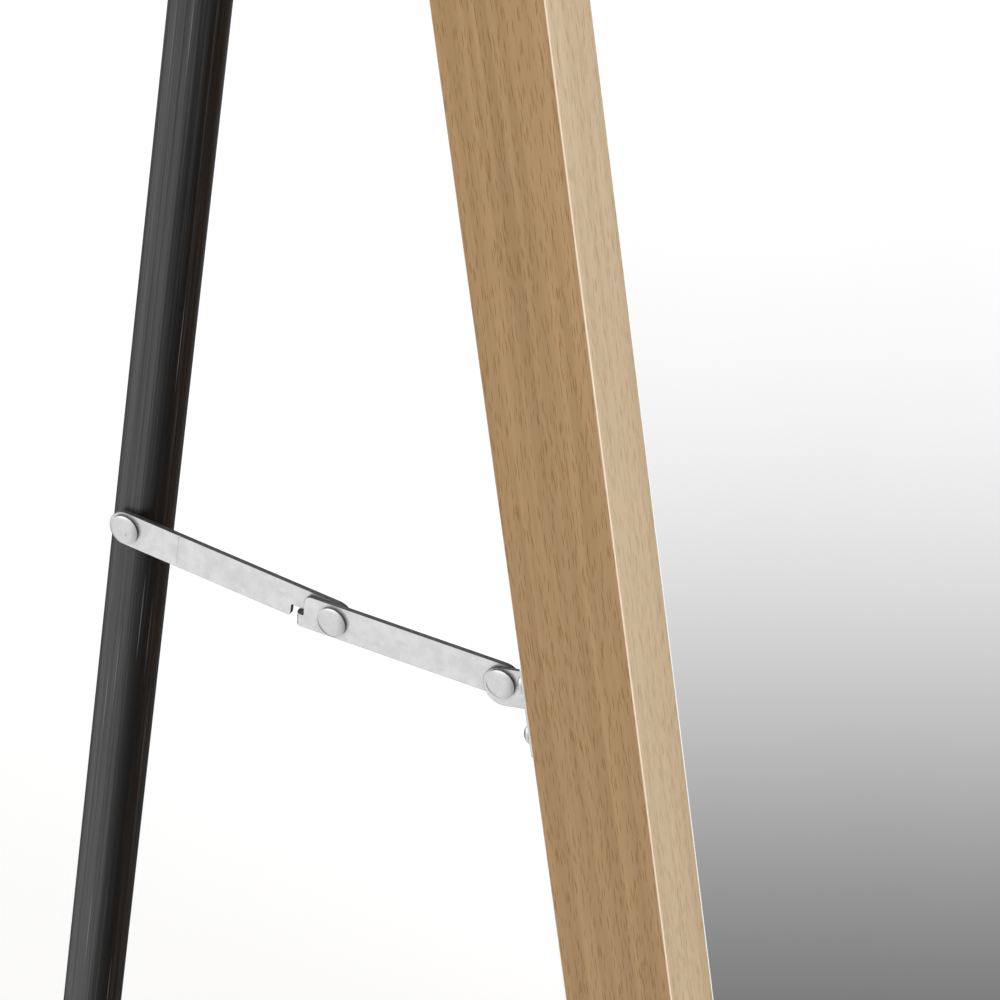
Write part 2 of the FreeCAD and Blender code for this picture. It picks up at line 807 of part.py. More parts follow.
def make_tube_cap():
    """Plastic plug that closes the open top of a leg."""
    bore = "dims.tube_radius - dims.tube_wall - dims.running_fit"
    plug = rod("cap_plug_left", bore, "dims.cap_plug",
               (LEG_X, "0", "dims.tube_overrun - dims.cap_plug"), "z")
    layer = f"{CAP_LAYER} * dims.cap_flange"
    disc = rod("cap_disc_left", "dims.tube_radius", layer,
               (LEG_X, "0", "dims.tube_overrun"), "z")
    crown = taper(
        "cap_crown_left",
        ("dims.tube_radius", f"{CAP_CROWN} * dims.tube_radius"),
        layer,
        (LEG_X, "0", f"dims.tube_overrun + {layer}"),
        "z",
    )
    return on_stand(join("tube_cap_left", [plug, disc, crown]))


def make_sleeve():
    """Rubber sleeve on the crossbar with a flat that rests on the floor."""
    y = step(HINGE_PIVOT, LEG_LENGTH, "270 + dims.splay")[0]
    x = inset("dims.tube_inset + dims.sleeve_inset")
    barrel = rod("sleeve_barrel", "dims.sleeve_radius", "dims.sleeve_length",
                 ("0", "0", "dims.crossbar_height"))
    hollow = rod(
        "sleeve_hollow",
        "dims.tube_radius + dims.running_fit",
        "dims.sleeve_length + 2 * dims.overshoot",
        ("-dims.overshoot", "0", "dims.crossbar_height"),
    )
    below = box(
        "sleeve_flat",
        (
            "dims.sleeve_length + 2 * dims.overshoot",
            "4 * dims.sleeve_radius",
            "2 * dims.sleeve_radius",
        ),
        ("-dims.overshoot", "-2 * dims.sleeve_radius", "-2 * dims.sleeve_radius"),
    )
    sleeve = remove("stand_foot_left", barrel, [hollow, below])
    return place(sleeve, x=x, y=y)


def make_leg_rivet():
    """Stay pivot on the leg: head outside the link, blind tail inside the tube."""
    outer = inset(LEG_LINK_INSET)
    wall = "dims.tube_inset - dims.tube_radius + dims.tube_wall"
    reach = f"{wall} + dims.tail_gap - {LEG_LINK_INSET}"
    point = ("0", f"-{HINGE_TO_STAY}")
    pin = rod("leg_pin_left", "dims.pin_radius", reach, (outer, *point))
    tail = rod(
        "leg_tail_left", "dims.tail_radius", "dims.tail_height", (f"{outer} + {reach}", *point)
    )
    head = button_head("leg_head_left", "dims.head_radius", "dims.head_height", outer, *point)
    return on_stand(join("stay_leg_rivet_left", head + [pin, tail]))


# ---------------------------------------------------------------- folding stay

HALF_WIDTH = "dims.link_width / 2"
LINK_TAIL = "dims.frame_link + dims.tail_length"


def link_bar(name, start, length):
    return box(
        name, ("dims.link_thick", length, "dims.link_width"), ("0", start, f"-{HALF_WIDTH}")
    )


def link_end(name, reach):
    return rod(name, HALF_WIDTH, "dims.link_thick", ("0", reach, "0"))


def pivot_hole(name, reach):
    length = "dims.link_thick + 2 * dims.overshoot"
    return rod(name, PIN_HOLE, length, ("-dims.overshoot", reach, "0"))


def place_leg_link(item):
    """From the leg pivot the link runs forward (-Y) and a little down to the knee."""
    y, z = LEG_PIVOT
    return place(item, inset(LEG_LINK_INSET), y, z, turn="dims.leg_link_slope")


def place_frame_link(item):
    """From the bracket pivot the link runs back (+Y) and a little up to the knee."""
    y, z = BRACKET_PIVOT
    return place(item, inset(FRAME_LINK_INSET), y, z, turn="dims.frame_link_slope")


def make_leg_link():
    """Link on the leg; the notch in its lower edge takes the other link's stop tab."""
    bar = link_bar("leg_link_bar", "-dims.leg_link", "dims.leg_link")
    near = link_end("leg_link_near_end", "0")
    far = link_end("leg_link_far_end", "-dims.leg_link")
    notch = box(
        "leg_link_notch",
        (
            "dims.link_thick + 2 * dims.overshoot",
            "dims.notch_width",
            "dims.notch_depth + dims.overshoot",
        ),
        (
            "-dims.overshoot",
            "dims.notch_start - dims.notch_width - dims.leg_link",
            f"-{HALF_WIDTH} - dims.overshoot",
        ),
    )
    holes = [pivot_hole("leg_link_hole", "0"), pivot_hole("leg_link_knee_hole", "-dims.leg_link")]
    blank = join("leg_link_blank", [bar, near, far])
    return place_leg_link(remove("leg_link_left", blank, [notch] + holes))


def make_frame_link():
    """Link on the frame; its tail runs past the knee and folds over as a stop tab."""
    near = link_end("frame_link_near_end", "0")
    bar = link_bar("frame_link_bar", "0", f"{LINK_TAIL} - dims.tail_corner")
    corner = rod(
        "frame_link_corner",
        "dims.tail_corner",
        "dims.link_thick",
        ("0", f"{LINK_TAIL} - dims.tail_corner", f"{HALF_WIDTH} - dims.tail_corner"),
    )
    end = box(
        "frame_link_end",
        ("dims.link_thick", "2 * dims.tail_corner", "dims.link_width - dims.tail_corner"),
        ("0", f"{LINK_TAIL} - 2 * dims.tail_corner", f"-{HALF_WIDTH}"),
    )
    tab_height = f"({HALF_WIDTH} - dims.tab_top)"
    strip = box(
        "frame_link_strip",
        (
            "dims.link_thick",
            "dims.tab_reach - dims.tail_length + dims.overshoot",
            tab_height,
        ),
        ("0", f"{LINK_TAIL} - dims.overshoot", f"-{HALF_WIDTH}"),
    )
    tab = box(
        "frame_link_tab",
        ("2 * dims.link_thick + 2 * dims.link_gap", "dims.link_thick", tab_height),
        ("0", "dims.frame_link + dims.tab_reach - dims.link_thick", f"-{HALF_WIDTH}"),
    )
    holes = [
        pivot_hole("frame_link_hole", "0"),
        pivot_hole("frame_link_knee_hole", "dims.frame_link"),
    ]
    blank = join("frame_link_blank", [near, bar, corner, end, strip, tab])
    return place_frame_link(remove("frame_link_left", blank, holes))


def make_knee_rivet():
    """Outer half of the knee pivot, fixed in the frame link."""
    point = ("dims.frame_link", "0")
    pin = rod("knee_pin_left", "dims.pin_radius", "dims.link_thick", ("0", *point))
    head = button_head("knee_head_left", "dims.head_radius", "dims.head_height", "0", *point)
    return place_frame_link(join("knee_rivet_left", head + [pin]))


def make_knee_tail():
    """Inner half of the knee pivot, fixed in the leg link."""
    point = ("-dims.leg_link", "0")
    pin = rod("knee_core_left", "dims.pin_radius", "dims.link_thick", ("0", *point))
    tail = rod(
        "knee_rim_left", "dims.tail_radius", "dims.tail_height", ("dims.link_thick", *point)
    )
    return place_leg_link(join("knee_tail_left", [pin, tail]))


# ---------------------------------------------------------------- the whole mirror

def with_twin(left):
    return [left, mirrored(left.Label.replace("_left", "_right"), left)]


def build():
    parts = with_twin(make_stile())
    parts += [make_rail("rail_bottom", False), make_rail("rail_top", True), make_dowels()]
    parts += [make_glass(), make_tape(), make_board(), make_board_screws()]
    parts += with_twin(make_foot())
    parts.append(make_foot_screws())
    parts += with_twin(
        make_bracket(
            "hinge_bracket_left",
            HINGE_STATION,
            "dims.hinge_offset",
            "dims.hinge_plate",
            "dims.hinge_ear",
            "dims.hinge_ear_drop",
            HINGE_EAR_INNER,
            "dims.hinge_top",
            "dims.hinge_bottom",
            "dims.hinge_pin",
            HINGE_SCREWS,
        )
    )
    parts.append(make_bracket_screws("hinge_bracket_screws", HINGE_SCREWS, "dims.hinge_plate"))
    parts += with_twin(make_hinge_rivet())
    parts += with_twin(
        make_bracket(
            "stay_bracket_left",
            "dims.stay_station",
            "dims.stay_offset",
            "dims.stay_plate",
            "dims.stay_ear",
            "dims.stay_ear_drop",
            "(dims.ear_inset + dims.stay_plate)",
            "dims.stay_top",
            "dims.stay_bottom",
            "dims.pin_radius",
            STAY_SCREWS,
        )
    )
    parts.append(make_bracket_screws("stay_bracket_screws", STAY_SCREWS, "dims.stay_plate"))
    parts += with_twin(make_bracket_rivet())
    parts.append(make_tube())
    for make in (make_tube_cap, make_sleeve, make_leg_rivet):
        parts += with_twin(make())
    for make in (make_leg_link, make_frame_link, make_knee_rivet, make_knee_tail):
        parts += with_twin(make())
    return parts


def export(parts):
    doc.recompute()
    for item in doc.Objects:
        if "Invalid" in item.State or "Error" in item.State:
            raise RuntimeError(f"{item.Label} did not recompute")
    os.makedirs("parts", exist_ok=True)
    for part in parts:
        if part.Shape.isNull() or not part.Shape.isValid():
            raise RuntimeError(f"{part.Label} has no valid shape")
        part.Shape.exportStep(f"parts/{part.Label}.step")


export(build())
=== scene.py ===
import json
import math
import random

import bmesh
import bpy
from mathutils import Matrix, Vector


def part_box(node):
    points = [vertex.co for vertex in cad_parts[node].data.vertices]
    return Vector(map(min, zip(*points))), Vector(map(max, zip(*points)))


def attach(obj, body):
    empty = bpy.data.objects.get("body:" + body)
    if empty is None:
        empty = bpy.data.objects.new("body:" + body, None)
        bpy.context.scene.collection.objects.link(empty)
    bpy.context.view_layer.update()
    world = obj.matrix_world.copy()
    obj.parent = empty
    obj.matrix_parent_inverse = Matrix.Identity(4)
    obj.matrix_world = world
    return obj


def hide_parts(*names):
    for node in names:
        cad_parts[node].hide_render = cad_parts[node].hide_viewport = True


# Looks of the easel-back floor mirror. Blanks are drawn in millimetres, in the axes of the
# part they belong to, and piece() puts them into the row frame in metres.

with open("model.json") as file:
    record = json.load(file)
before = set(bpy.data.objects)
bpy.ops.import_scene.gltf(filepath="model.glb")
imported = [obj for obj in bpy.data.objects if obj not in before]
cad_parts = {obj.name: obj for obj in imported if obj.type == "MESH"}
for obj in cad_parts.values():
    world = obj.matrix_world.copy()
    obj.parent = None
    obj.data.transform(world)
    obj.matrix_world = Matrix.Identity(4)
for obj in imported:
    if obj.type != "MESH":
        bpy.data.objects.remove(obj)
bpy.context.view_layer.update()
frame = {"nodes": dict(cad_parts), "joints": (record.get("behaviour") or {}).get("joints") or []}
nodes = frame["nodes"]
joints = {joint["name"]: joint for joint in frame["joints"]}

MM = 0.001
SIDES = ("left", "right")

# wooden frame
FRAME_LENGTH = 1500.0
FRAME_DEPTH = 37.5
FACE_WIDTH = 24.2
LEDGE_WIDTH = 10.0
REBATE = 8.0
ARRIS = 0.5
# Share of the painted highlight at each step round an arris.
ARRIS_HIGHLIGHT = (0.0, 0.4, 1.0, 1.0, 0.8, 0.0)
INNER_EASE = 0.3
MITRE_EASE = 0.2
# glass
GLASS_THICK = 4.0
GLASS_BEVEL = 0.2
SHEET_GAP = 0.25
# pads under the frame
FOOT_WIDTH = 40.0
FOOT_DEPTH = 28.0
FOOT_INSET = 55.0
FOOT_RISE = 4.0
FOOT_SEAT = 2.6
FOOT_RECESS = 3.8
FOOT_CUT = 20.0
FOOT_EASE = 1.0
# tube stand
TUBE_RADIUS = 9.5
TUBE_WALL = 1.2
TUBE_INSET = 22.7
TUBE_OVERRUN = 15.0
BEND_RADIUS = 60.0
CROSSBAR_HEIGHT = 11.5
SLEEVE_RADIUS = 12.5
SLEEVE_EASE = 1.2
SLEEVE_GROOVES = 5
GROOVE_DEPTH = 0.5
GROOVE_FLOOR = 0.5
GROOVE_SHOULDER = 0.9
CAP_FLANGE = 2.0
CAP_PLUG = 8.5
CAP_LEAD_WIDTH = 0.6
CAP_LEAD_LENGTH = 0.8
CAP_RIM_INSET = 0.1
CAP_RIM_EASE = 0.15
CAP_RIM_TOP = 0.7
CAP_CROWN_INSET = 0.12
CAP_CROWN_START = 0.9
# hinge at the top of the stand
HINGE_OFFSET = 23.0
HINGE_PLATE = 2.0
HINGE_EAR = 10.0
HINGE_SPAN = (-34.0, 14.0)
HINGE_SCREWS = (6.0, -8.0, -26.0)
HINGE_PIN = 3.0
HINGE_HEAD = 6.0
HINGE_HEAD_HEIGHT = 2.4
HINGE_CLEARANCE = 0.3
HINGE_TAIL = 4.5
HINGE_TAIL_HEIGHT = 1.5
TAIL_GAP = 0.5
# folding stay
STAY_STATION = 601.0
STAY_OFFSET = 12.5
STAY_PLATE = 1.2
STAY_EAR = 6.5
STAY_EAR_DROP = 1.3
STAY_SPAN = (-20.6, 10.6)
STAY_SCREWS = (3.6, -13.3)
EAR_INSET = 8.2
FLANGE_INSET = 1.2
# pressed plates: rim easing, inside fold radius, relief beside the fold and corner radii
PLATE_EASE = 0.14
PLATE_FOLD = 0.8
FOLD_RELIEF = 0.6
FLANGE_CORNER = 1.6
RELIEF_CORNER = 0.6
EAR_CORNER = 0.5
# links
LINK_WIDTH = 11.6
LINK_THICK = 1.6
LINK_GAP = 0.15
LINK_EASE = 0.12
LINK_CORNER_STEPS = 12
NOTCH_START = 15.5
NOTCH_WIDTH = 6.0
NOTCH_DEPTH = 4.3
NOTCH_CORNERS = (0.9, 0.5, 0.5, 1.2)
TAIL_LENGTH = 10.3
TAIL_CORNER = 2.6
TAB_REACH = 13.3
TAB_TOP = 1.45
TAB_FOLD = 0.5
TAB_CORNERS = (0.8, 0.5, 0.5)
CREASE = 19.0
CREASE_WIDTH = 0.4
CREASE_DEPTH = 0.22
# rivets: the rim is a share of the head's height; a dimple is (centre, spread, depth)
PIN_RADIUS = 2.4
RUNNING_FIT = 0.05
HEAD_RADIUS = 4.9
HEAD_HEIGHT = 2.4
HEAD_RIM = 0.42
HEAD_EASE = 0.14
LEG_DIMPLE = ((-2.1, 0.4), 0.9, 0.30)
TAIL_RADIUS = 3.0
TAIL_HEIGHT = 1.0
TAIL_RIM = 0.3
# wood screws
SCREW_INSET = 4.6
SCREW_RADIUS = 1.9
SCREW_LENGTH = 16.0
SCREW_HEAD = 3.4
SCREW_HEAD_HEIGHT = 2.8
SCREW_HEAD_EASE = 0.15
SCREW_TIP = 1.5
SCREW_TIP_SHARE = 0.4
SCREW_TAPER = 5.0
# turns of the cross recesses in degrees: the first, each next one, each hand
SCREW_TURN, SCREW_TURN_STEP, SCREW_TURN_HAND = 25, 40, 15
# shares of the screw head: its rim, and the reach, half width and depth of its cross
SCREW_RIM = 0.35
CROSS_REACH = 0.62
CROSS_WIDTH = 0.17
CROSS_FLOOR = 0.35
CROSS_SIZES = (0.45, 1.12)
CROSS_OVERSHOOT = 0.4


# ---------- axes of the parts

def pivot(name):
    return Vector(joints[name]["pos_m"]) / MM


def middle(node):
    low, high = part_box(node)
    return (low + high) / 2 / MM


def slope(start, stop):
    return math.atan2(stop.z - start.z, stop.y - start.y)


def axes(origin, turn, x=0.0):
    """Axes at a pivot, with X across the mirror, turned about X."""
    return Matrix.Translation((x, origin.y, origin.z)) @ Matrix.Rotation(turn, 4, "X")


side_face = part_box("stile_left")[0].x / MM
frame_width = -2 * side_face

hinge_pivot = pivot("stand_hinge")
leg_pivot = pivot("leg_stay_pivot_left")
bracket_pivot = pivot("frame_stay_pivot_left")
knee_pivot = middle("knee_rivet_left")

rise = hinge_pivot - bracket_pivot
climb = math.hypot(rise.y, rise.z)
lean = math.atan2(rise.y, rise.z) - math.asin((HINGE_OFFSET - STAY_OFFSET) / climb)
hinge_station = STAY_STATION + math.sqrt(climb**2 - (HINGE_OFFSET - STAY_OFFSET) ** 2)
splay = slope(hinge_pivot, leg_pivot) + math.pi / 2

frame_axes = axes(bracket_pivot, -lean) @ Matrix.Translation((0, -STAY_OFFSET, -STAY_STATION))
stand_axes = axes(hinge_pivot, splay)
leg_link_axes = axes(leg_pivot, slope(knee_pivot, leg_pivot))
frame_link_axes = axes(bracket_pivot, slope(bracket_pivot, knee_pivot))

leg_x = side_face + TUBE_INSET
leg_length = (hinge_pivot.z - CROSSBAR_HEIGHT) / math.cos(splay)
stay_drop = math.hypot(leg_pivot.y - hinge_pivot.y, leg_pivot.z - hinge_pivot.z)
leg_link_length = math.hypot(leg_pivot.y - knee_pivot.y, leg_pivot.z - knee_pivot.z)
frame_link_length = math.hypot(knee_pivot.y - bracket_pivot.y, knee_pivot.z - bracket_pivot.z)
frame_link_x = side_face + EAR_INSET + STAY_PLATE + LINK_GAP
leg_link_x = frame_link_x + LINK_THICK + LINK_GAP


# ---------- node helpers

class Tree:
    """Short calls for building one node tree."""

    def __init__(self, tree):
        self.tree = tree
        tree.nodes.clear()

    def add(self, kind, settings=None, inputs=None, output=0):
        """Adds a node and returns one of its outputs; inputs may be values or outputs."""
        made = self.tree.nodes.new("ShaderNode" + kind)
        for key, value in (settings or {}).items():
            setattr(made, key, value)
        for key, value in (inputs or {}).items():
            if isinstance(value, bpy.types.NodeSocket):
                self.tree.links.new(value, made.inputs[key])
            else:
                made.inputs[key].default_value = value
        return made.outputs[output] if len(made.outputs) else made

    def maths(self, operation, *values):
        return self.add("Math", {"operation": operation}, dict(enumerate(values)))

    def step(self, value, low, high):
        """0 below low, 1 above high, smooth between; low may be the larger."""
        settings = {"interpolation_type": "SMOOTHSTEP"}
        return self.add("MapRange", settings, {"Value": value, "From Min": low, "From Max": high})

    def between(self, value, low, high):
        """Maps 0..1 onto low..high."""
        return self.add("MapRange", None, {"Value": value, "To Min": low, "To Max": high})

    def mix(self, factor, first, second, blend="MIX"):
        inputs = {"Fac": factor, "Color1": first, "Color2": second}
        return self.add("MixRGB", {"blend_type": blend}, inputs)

    def stretch(self, vector, scale):
        return self.add("Mapping", None, {"Vector": vector, "Scale": scale})

    def pushed(self, vector, amount, reach):
        """The vector moved along each axis by amount times that axis's reach."""
        settings = {"operation": "MULTIPLY_ADD"}
        return self.add("VectorMath", settings, {0: amount, 1: reach, 2: vector})

    def noise(self, vector, scale, detail=2.0, roughness=0.5, distortion=0.0):
        """Noise with its own scale along each axis, in cycles per metre."""
        inputs = {
            "Vector": self.stretch(vector, scale),
            "Scale": 1.0,
            "Detail": detail,
            "Roughness": roughness,
            "Distortion": distortion,
        }
        return self.add("TexNoise", None, inputs)

    def cells(self, vector, scale, output, spread=1.0, dimensions="3D"):
        inputs = {"Vector": self.stretch(vector, scale), "Scale": 1.0, "Randomness": spread}
        settings = {"voronoi_dimensions": dimensions}
        return self.add("TexVoronoi", settings, inputs, output)

    def drawn_number(self, channel, *cells):
        """A random number for each cell, from one channel of its colour."""
        colour = self.cells(*cells)
        return self.add("SeparateColor", None, {"Color": colour}, channel)

    def fact(self, name):
        """A number stored at each point of the piece."""
        return self.add("Attribute", {"attribute_name": name}, None, "Fac")

    def unrolled(self, vector):
        """Flattens faces that look along x or y: across the face, then along the length."""
        parts = self.add("SeparateXYZ", None, {"Vector": vector}).node.outputs
        across = self.maths("ADD", parts["X"], parts["Y"])
        return self.add("CombineXYZ", None, {"X": across, "Y": parts["Z"]})

    def bump(self, height, strength, distance):
        inputs = {"Height": height, "Strength": strength, "Distance": distance}
        return self.add("Bump", None, inputs)

    def local(self):
        """The piece's own coordinates, in metres, with the last along its length."""
        return self.add("Attribute", {"attribute_name": "local"}, None, "Vector")

    def row(self):
        """The row frame's coordinates, for CAD nodes."""
        return self.add("TexCoord", None, None, "Object")

    def surface(self, inputs):
        shader = self.add("BsdfPrincipled", None, inputs)
        self.add("OutputMaterial", None, {"Surface": shader})


def material(name, build, *facts):
    made = bpy.data.materials.new(name)
    made.use_nodes = True
    build(Tree(made.node_tree), *facts)
    return made


def grey(value):
    return (value, value, value, 1.0)


# ---------- materials

BEECH_LIGHT = (0.376, 0.230, 0.098, 1.0)
BEECH_DARK = (0.296, 0.173, 0.068, 1.0)
# The front face's colours are the side's beech colours lightened by a painted sheen.
FRONT_SHEEN_LIGHT = (0.548, 0.421, 0.266, 1.0)
FRONT_SHEEN_DARK = (0.489, 0.360, 0.215, 1.0)
BEECH_FLECK = (0.150, 0.052, 0.005, 1.0)
# Colour of the painted highlight along the arrises.
BEECH_ARRIS_HIGHLIGHT = (0.860, 0.730, 0.570, 1.0)
# Layers of flecks: cells per metre across and along, and the share of cells left empty.
FLECK_LAYERS = (((2300, 115, 1), 0.70), ((3000, 150, 1), 0.78))
FLECK_SPREAD = 0.85
FLECK_FADE = 0.12


def beech(tree):
    """Beech with short dark flecks along the grain, soft bands, a painted highlight along the
    arrises and a painted sheen that lightens the front face.
    """
    place = tree.local()
    sway = tree.noise(place, (9, 9, 9), 1.0)
    swayed = tree.pushed(place, sway, (0.0015, 0.0015, 0.0))
    bands = tree.noise(swayed, (260, 260, 2.6), 3.0, 0.6)
    fibre = tree.noise(swayed, (1700, 1700, 40), 3.0, 0.6)
    haze = tree.noise(swayed, (420, 420, 9), 2.0, 0.5)
    tone = tree.maths("MULTIPLY_ADD", haze, 0.45, tree.maths("MULTIPLY", bands, 0.55))
    tone = tree.step(tone, 0.34, 0.66)
    # Share of the front face's painted sheen at each point.
    front = tree.fact("front")
    sheen_faced = tree.mix(tone, FRONT_SHEEN_DARK, FRONT_SHEEN_LIGHT)
    colour = tree.mix(front, tree.mix(tone, BEECH_DARK, BEECH_LIGHT), sheen_faced)
    colour = tree.mix(tree.between(fibre, 0.20, 0.0), colour, grey(0.30), "MULTIPLY")

    flecks = None
    wander = tree.noise(place, (90, 90, 160), 2.0)
    wandered = tree.pushed(tree.unrolled(swayed), wander, (0.0004, 0.0, 0.0))
    for scale, empty in FLECK_LAYERS:
        distance = tree.cells(wandered, scale, "Distance", FLECK_SPREAD, "2D")
        draw = tree.drawn_number("Red", wandered, scale, "Color", FLECK_SPREAD, "2D")
        spot = tree.step(distance, 0.36, 0.18)
        kept = tree.step(draw, empty, empty + FLECK_FADE)
        layer = tree.maths("MULTIPLY", spot, kept)
        flecks = layer if flecks is None else tree.maths("MAXIMUM", flecks, layer)
    # Flecks are mixed in more weakly under the front face's painted sheen.
    depth = tree.maths("MULTIPLY", flecks, tree.between(front, 0.54, 0.36))
    colour = tree.mix(depth, colour, BEECH_FLECK)

    # Painted highlight along the arrises, broken up by the haze noise.
    highlight_mask = tree.maths("MULTIPLY", tree.fact("arris"), tree.between(haze, 0.50, 0.95))
    colour = tree.mix(highlight_mask, colour, BEECH_ARRIS_HIGHLIGHT)
    gloss = tree.between(tree.maths("MULTIPLY_ADD", flecks, 0.5, fibre), 0.40, 0.56)
    relief = tree.maths("MULTIPLY_ADD", flecks, -1.0, tree.maths("MULTIPLY", fibre, 0.35))
    tree.surface({
        "Base Color": colour,
        "Roughness": gloss,
        "Specular IOR Level": tree.between(flecks, 0.5, 0.15),
        "Normal": tree.bump(relief, 0.22, 0.00008),
    })


def black_tube(tree):
    """Satin black paint with fine streaks along the tube and a few bright scratches."""
    place = tree.local()
    streaks = tree.noise(place, (1300, 1300, 5.0), 5.0, 0.75)
    broad = tree.noise(place, (160, 160, 1.4), 2.0, 0.5)
    scratch_space = (1100, 1100, 12)
    distance = tree.cells(place, scratch_space, "Distance")
    draw = tree.drawn_number("Green", place, scratch_space, "Color")
    scratch = tree.maths(
        "MULTIPLY", tree.step(distance, 0.26, 0.08), tree.step(draw, 0.66, 0.86)
    )
    sheen = tree.maths("MULTIPLY_ADD", streaks, 0.7, tree.maths("MULTIPLY", broad, 0.3))
    colour = tree.mix(tree.step(sheen, 0.44, 0.60), grey(0.002), grey(0.032))
    colour = tree.mix(tree.maths("MULTIPLY", scratch, 0.50), colour, grey(0.16))
    dust = tree.noise(place, (2600, 2600, 2600), 2.0)
    tree.surface({
        "Base Color": colour,
        "Roughness": tree.between(tree.step(sheen, 0.4, 0.62), 0.46, 0.28),
        "Specular IOR Level": 0.50,
        "Normal": tree.bump(tree.mix(0.15, streaks, dust), 0.5, 0.00012),
    })


def zinc(tree, shine, low_rough, high_rough):
    """Zinc-plated sheet: mottled, with fine rolling marks and small scuffs."""
    place = tree.local()
    mottle = tree.noise(place, (190, 190, 190), 5.0, 0.62)
    spangle = tree.cells(place, (430, 430, 430), "Color")
    rolled = tree.noise(place, (2600, 120, 2600), 2.0, 0.6)
    across = tree.noise(place, (1500, 2200, 260), 3.0, 0.7)
    scuffs = tree.step(across, 0.62, 0.74)
    tone = tree.mix(0.22, mottle, spangle)
    colour = tree.mix(tree.step(tone, 0.32, 0.66), grey(shine * 0.90), grey(shine * 1.04))
    colour = tree.mix(tree.maths("MULTIPLY", scuffs, 0.30), colour, grey(shine * 0.62))
    rough = tree.between(tree.mix(0.4, mottle, rolled), low_rough, high_rough)
    tree.surface({
        "Base Color": colour,
        "Metallic": 0.72,
        "Roughness": rough,
        "Normal": tree.bump(tree.mix(0.5, rolled, across), 0.16, 0.00006),
    })


def sheared_edge(tree):
    """Dark sheared rim of the plated sheet, with torn lines across its thickness."""
    place = tree.local()
    torn = tree.noise(place, (300, 900, 300), 3.0, 0.7)
    tree.surface({
        "Base Color": tree.mix(tree.step(torn, 0.3, 0.7), grey(0.040), grey(0.085)),
        "Metallic": 0.55,
        "Roughness": tree.between(torn, 0.45, 0.65),
        "Normal": tree.bump(torn, 0.35, 0.00008),
    })


def rivet_steel(tree):
    """Plated rivet heads: nearly polished, with faint tumbling marks."""
    place = tree.local()
    cloud = tree.noise(place, (320, 320, 320), 4.0, 0.6)
    marks = tree.noise(place, (2600, 900, 1500), 3.0, 0.7)
    colour = tree.mix(tree.step(cloud, 0.35, 0.65), grey(0.560), grey(0.600))
    colour = tree.mix(tree.maths("MULTIPLY", tree.step(marks, 0.64, 0.74), 0.3), colour, grey(0.4))
    tree.surface({
        "Base Color": colour,
        "Metallic": 1.0,
        "Roughness": tree.between(cloud, 0.20, 0.26),
        "Normal": tree.bump(marks, 0.02, 0.00002),
    })


def rivet_wall(tree):
    """The upset wall under a rivet's head: dull, painted dark as shade, with pressing lines."""
    place = tree.local()
    lines = tree.noise(place, (500, 500, 2600), 3.0, 0.6)
    tree.surface({
        "Base Color": tree.mix(lines, grey(0.050), grey(0.150)),
        "Metallic": 0.8,
        "Roughness": tree.between(lines, 0.30, 0.45),
        "Normal": tree.bump(lines, 0.2, 0.00006),
    })


def screw_zinc(tree, coordinates):
    """Zinc-plated screws, in a built piece's or a CAD node's coordinates."""
    place = coordinates(tree)
    cloud = tree.noise(place, (700, 700, 700), 3.0, 0.6)
    tree.surface({
        "Base Color": tree.mix(cloud, grey(0.46), grey(0.66)),
        "Metallic": 1.0,
        "Roughness": tree.between(cloud, 0.24, 0.42),
        "Normal": tree.bump(cloud, 0.12, 0.00005),
    })


def moulded(tree, dark, light, rough, grain, strength):
    """Moulded plastic or rubber: a fine even texture over a slightly cloudy black."""
    place = tree.local()
    pebble = tree.noise(place, (grain, grain, grain), 2.0, 0.6)
    cloud = tree.noise(place, (90, 90, 90), 3.0, 0.5)
    tree.surface({
        "Base Color": tree.mix(cloud, grey(dark), grey(light)),
        "Roughness": tree.between(cloud, rough - 0.07, rough + 0.07),
        "Normal": tree.bump(pebble, strength, 0.00012),
    })


def mirror(tree):
    """Silvered glass: a clean reflection with the faintest film of wiping marks."""
    place = tree.local()
    film = tree.noise(place, (5, 5, 9), 4.0, 0.6, 0.6)
    tree.surface({
        "Base Color": tree.mix(tree.step(film, 0.4, 0.7), grey(0.965), grey(0.955)),
        "Metallic": 1.0,
        "Roughness": tree.between(tree.step(film, 0.5, 0.8), 0.0, 0.035),
    })


def glass_edge_highlight(tree):
    """Ground and polished glass rim: a little green, lightened to near white as a painted
    highlight, with grinding lines.
    """
    place = tree.local()
    lines = tree.noise(place, (900, 900, 900), 3.0, 0.6)
    tree.surface({
        "Base Color": tree.mix(lines, (0.90, 0.94, 0.92, 1.0), (0.96, 0.98, 0.97, 1.0)),
        "Roughness": tree.between(lines, 0.10, 0.28),
        "Coat Weight": 0.5,
        "Coat Roughness": 0.05,
    })


def hardboard(tree):
    """Brown pressed board with matted fibres and the print of the pressing screen."""
    place = tree.row()
    mat = tree.noise(place, (240, 240, 240), 6.0, 0.72)
    hairs = tree.noise(place, (1300, 300, 260), 4.0, 0.7, 1.2)
    screen = None
    for direction in ("X", "Z"):
        settings = {"wave_type": "BANDS", "bands_direction": direction}
        wave = tree.add(
            "TexWave", settings, {"Vector": place, "Scale": 105.0, "Distortion": 0.6}, "Fac"
        )
        screen = wave if screen is None else tree.maths("MINIMUM", screen, wave)
    tone = tree.mix(0.45, mat, hairs)
    colour = tree.mix(
        tree.step(tone, 0.34, 0.66), (0.150, 0.078, 0.036, 1.0), (0.300, 0.175, 0.090, 1.0)
    )
    colour = tree.mix(tree.between(screen, 0.22, 0.0), colour, grey(0.25), "MULTIPLY")
    tree.surface({
        "Base Color": colour,
        "Roughness": tree.between(mat, 0.62, 0.80),
        "Normal": tree.bump(tree.mix(0.5, screen, mat), 0.5, 0.0004),
    })


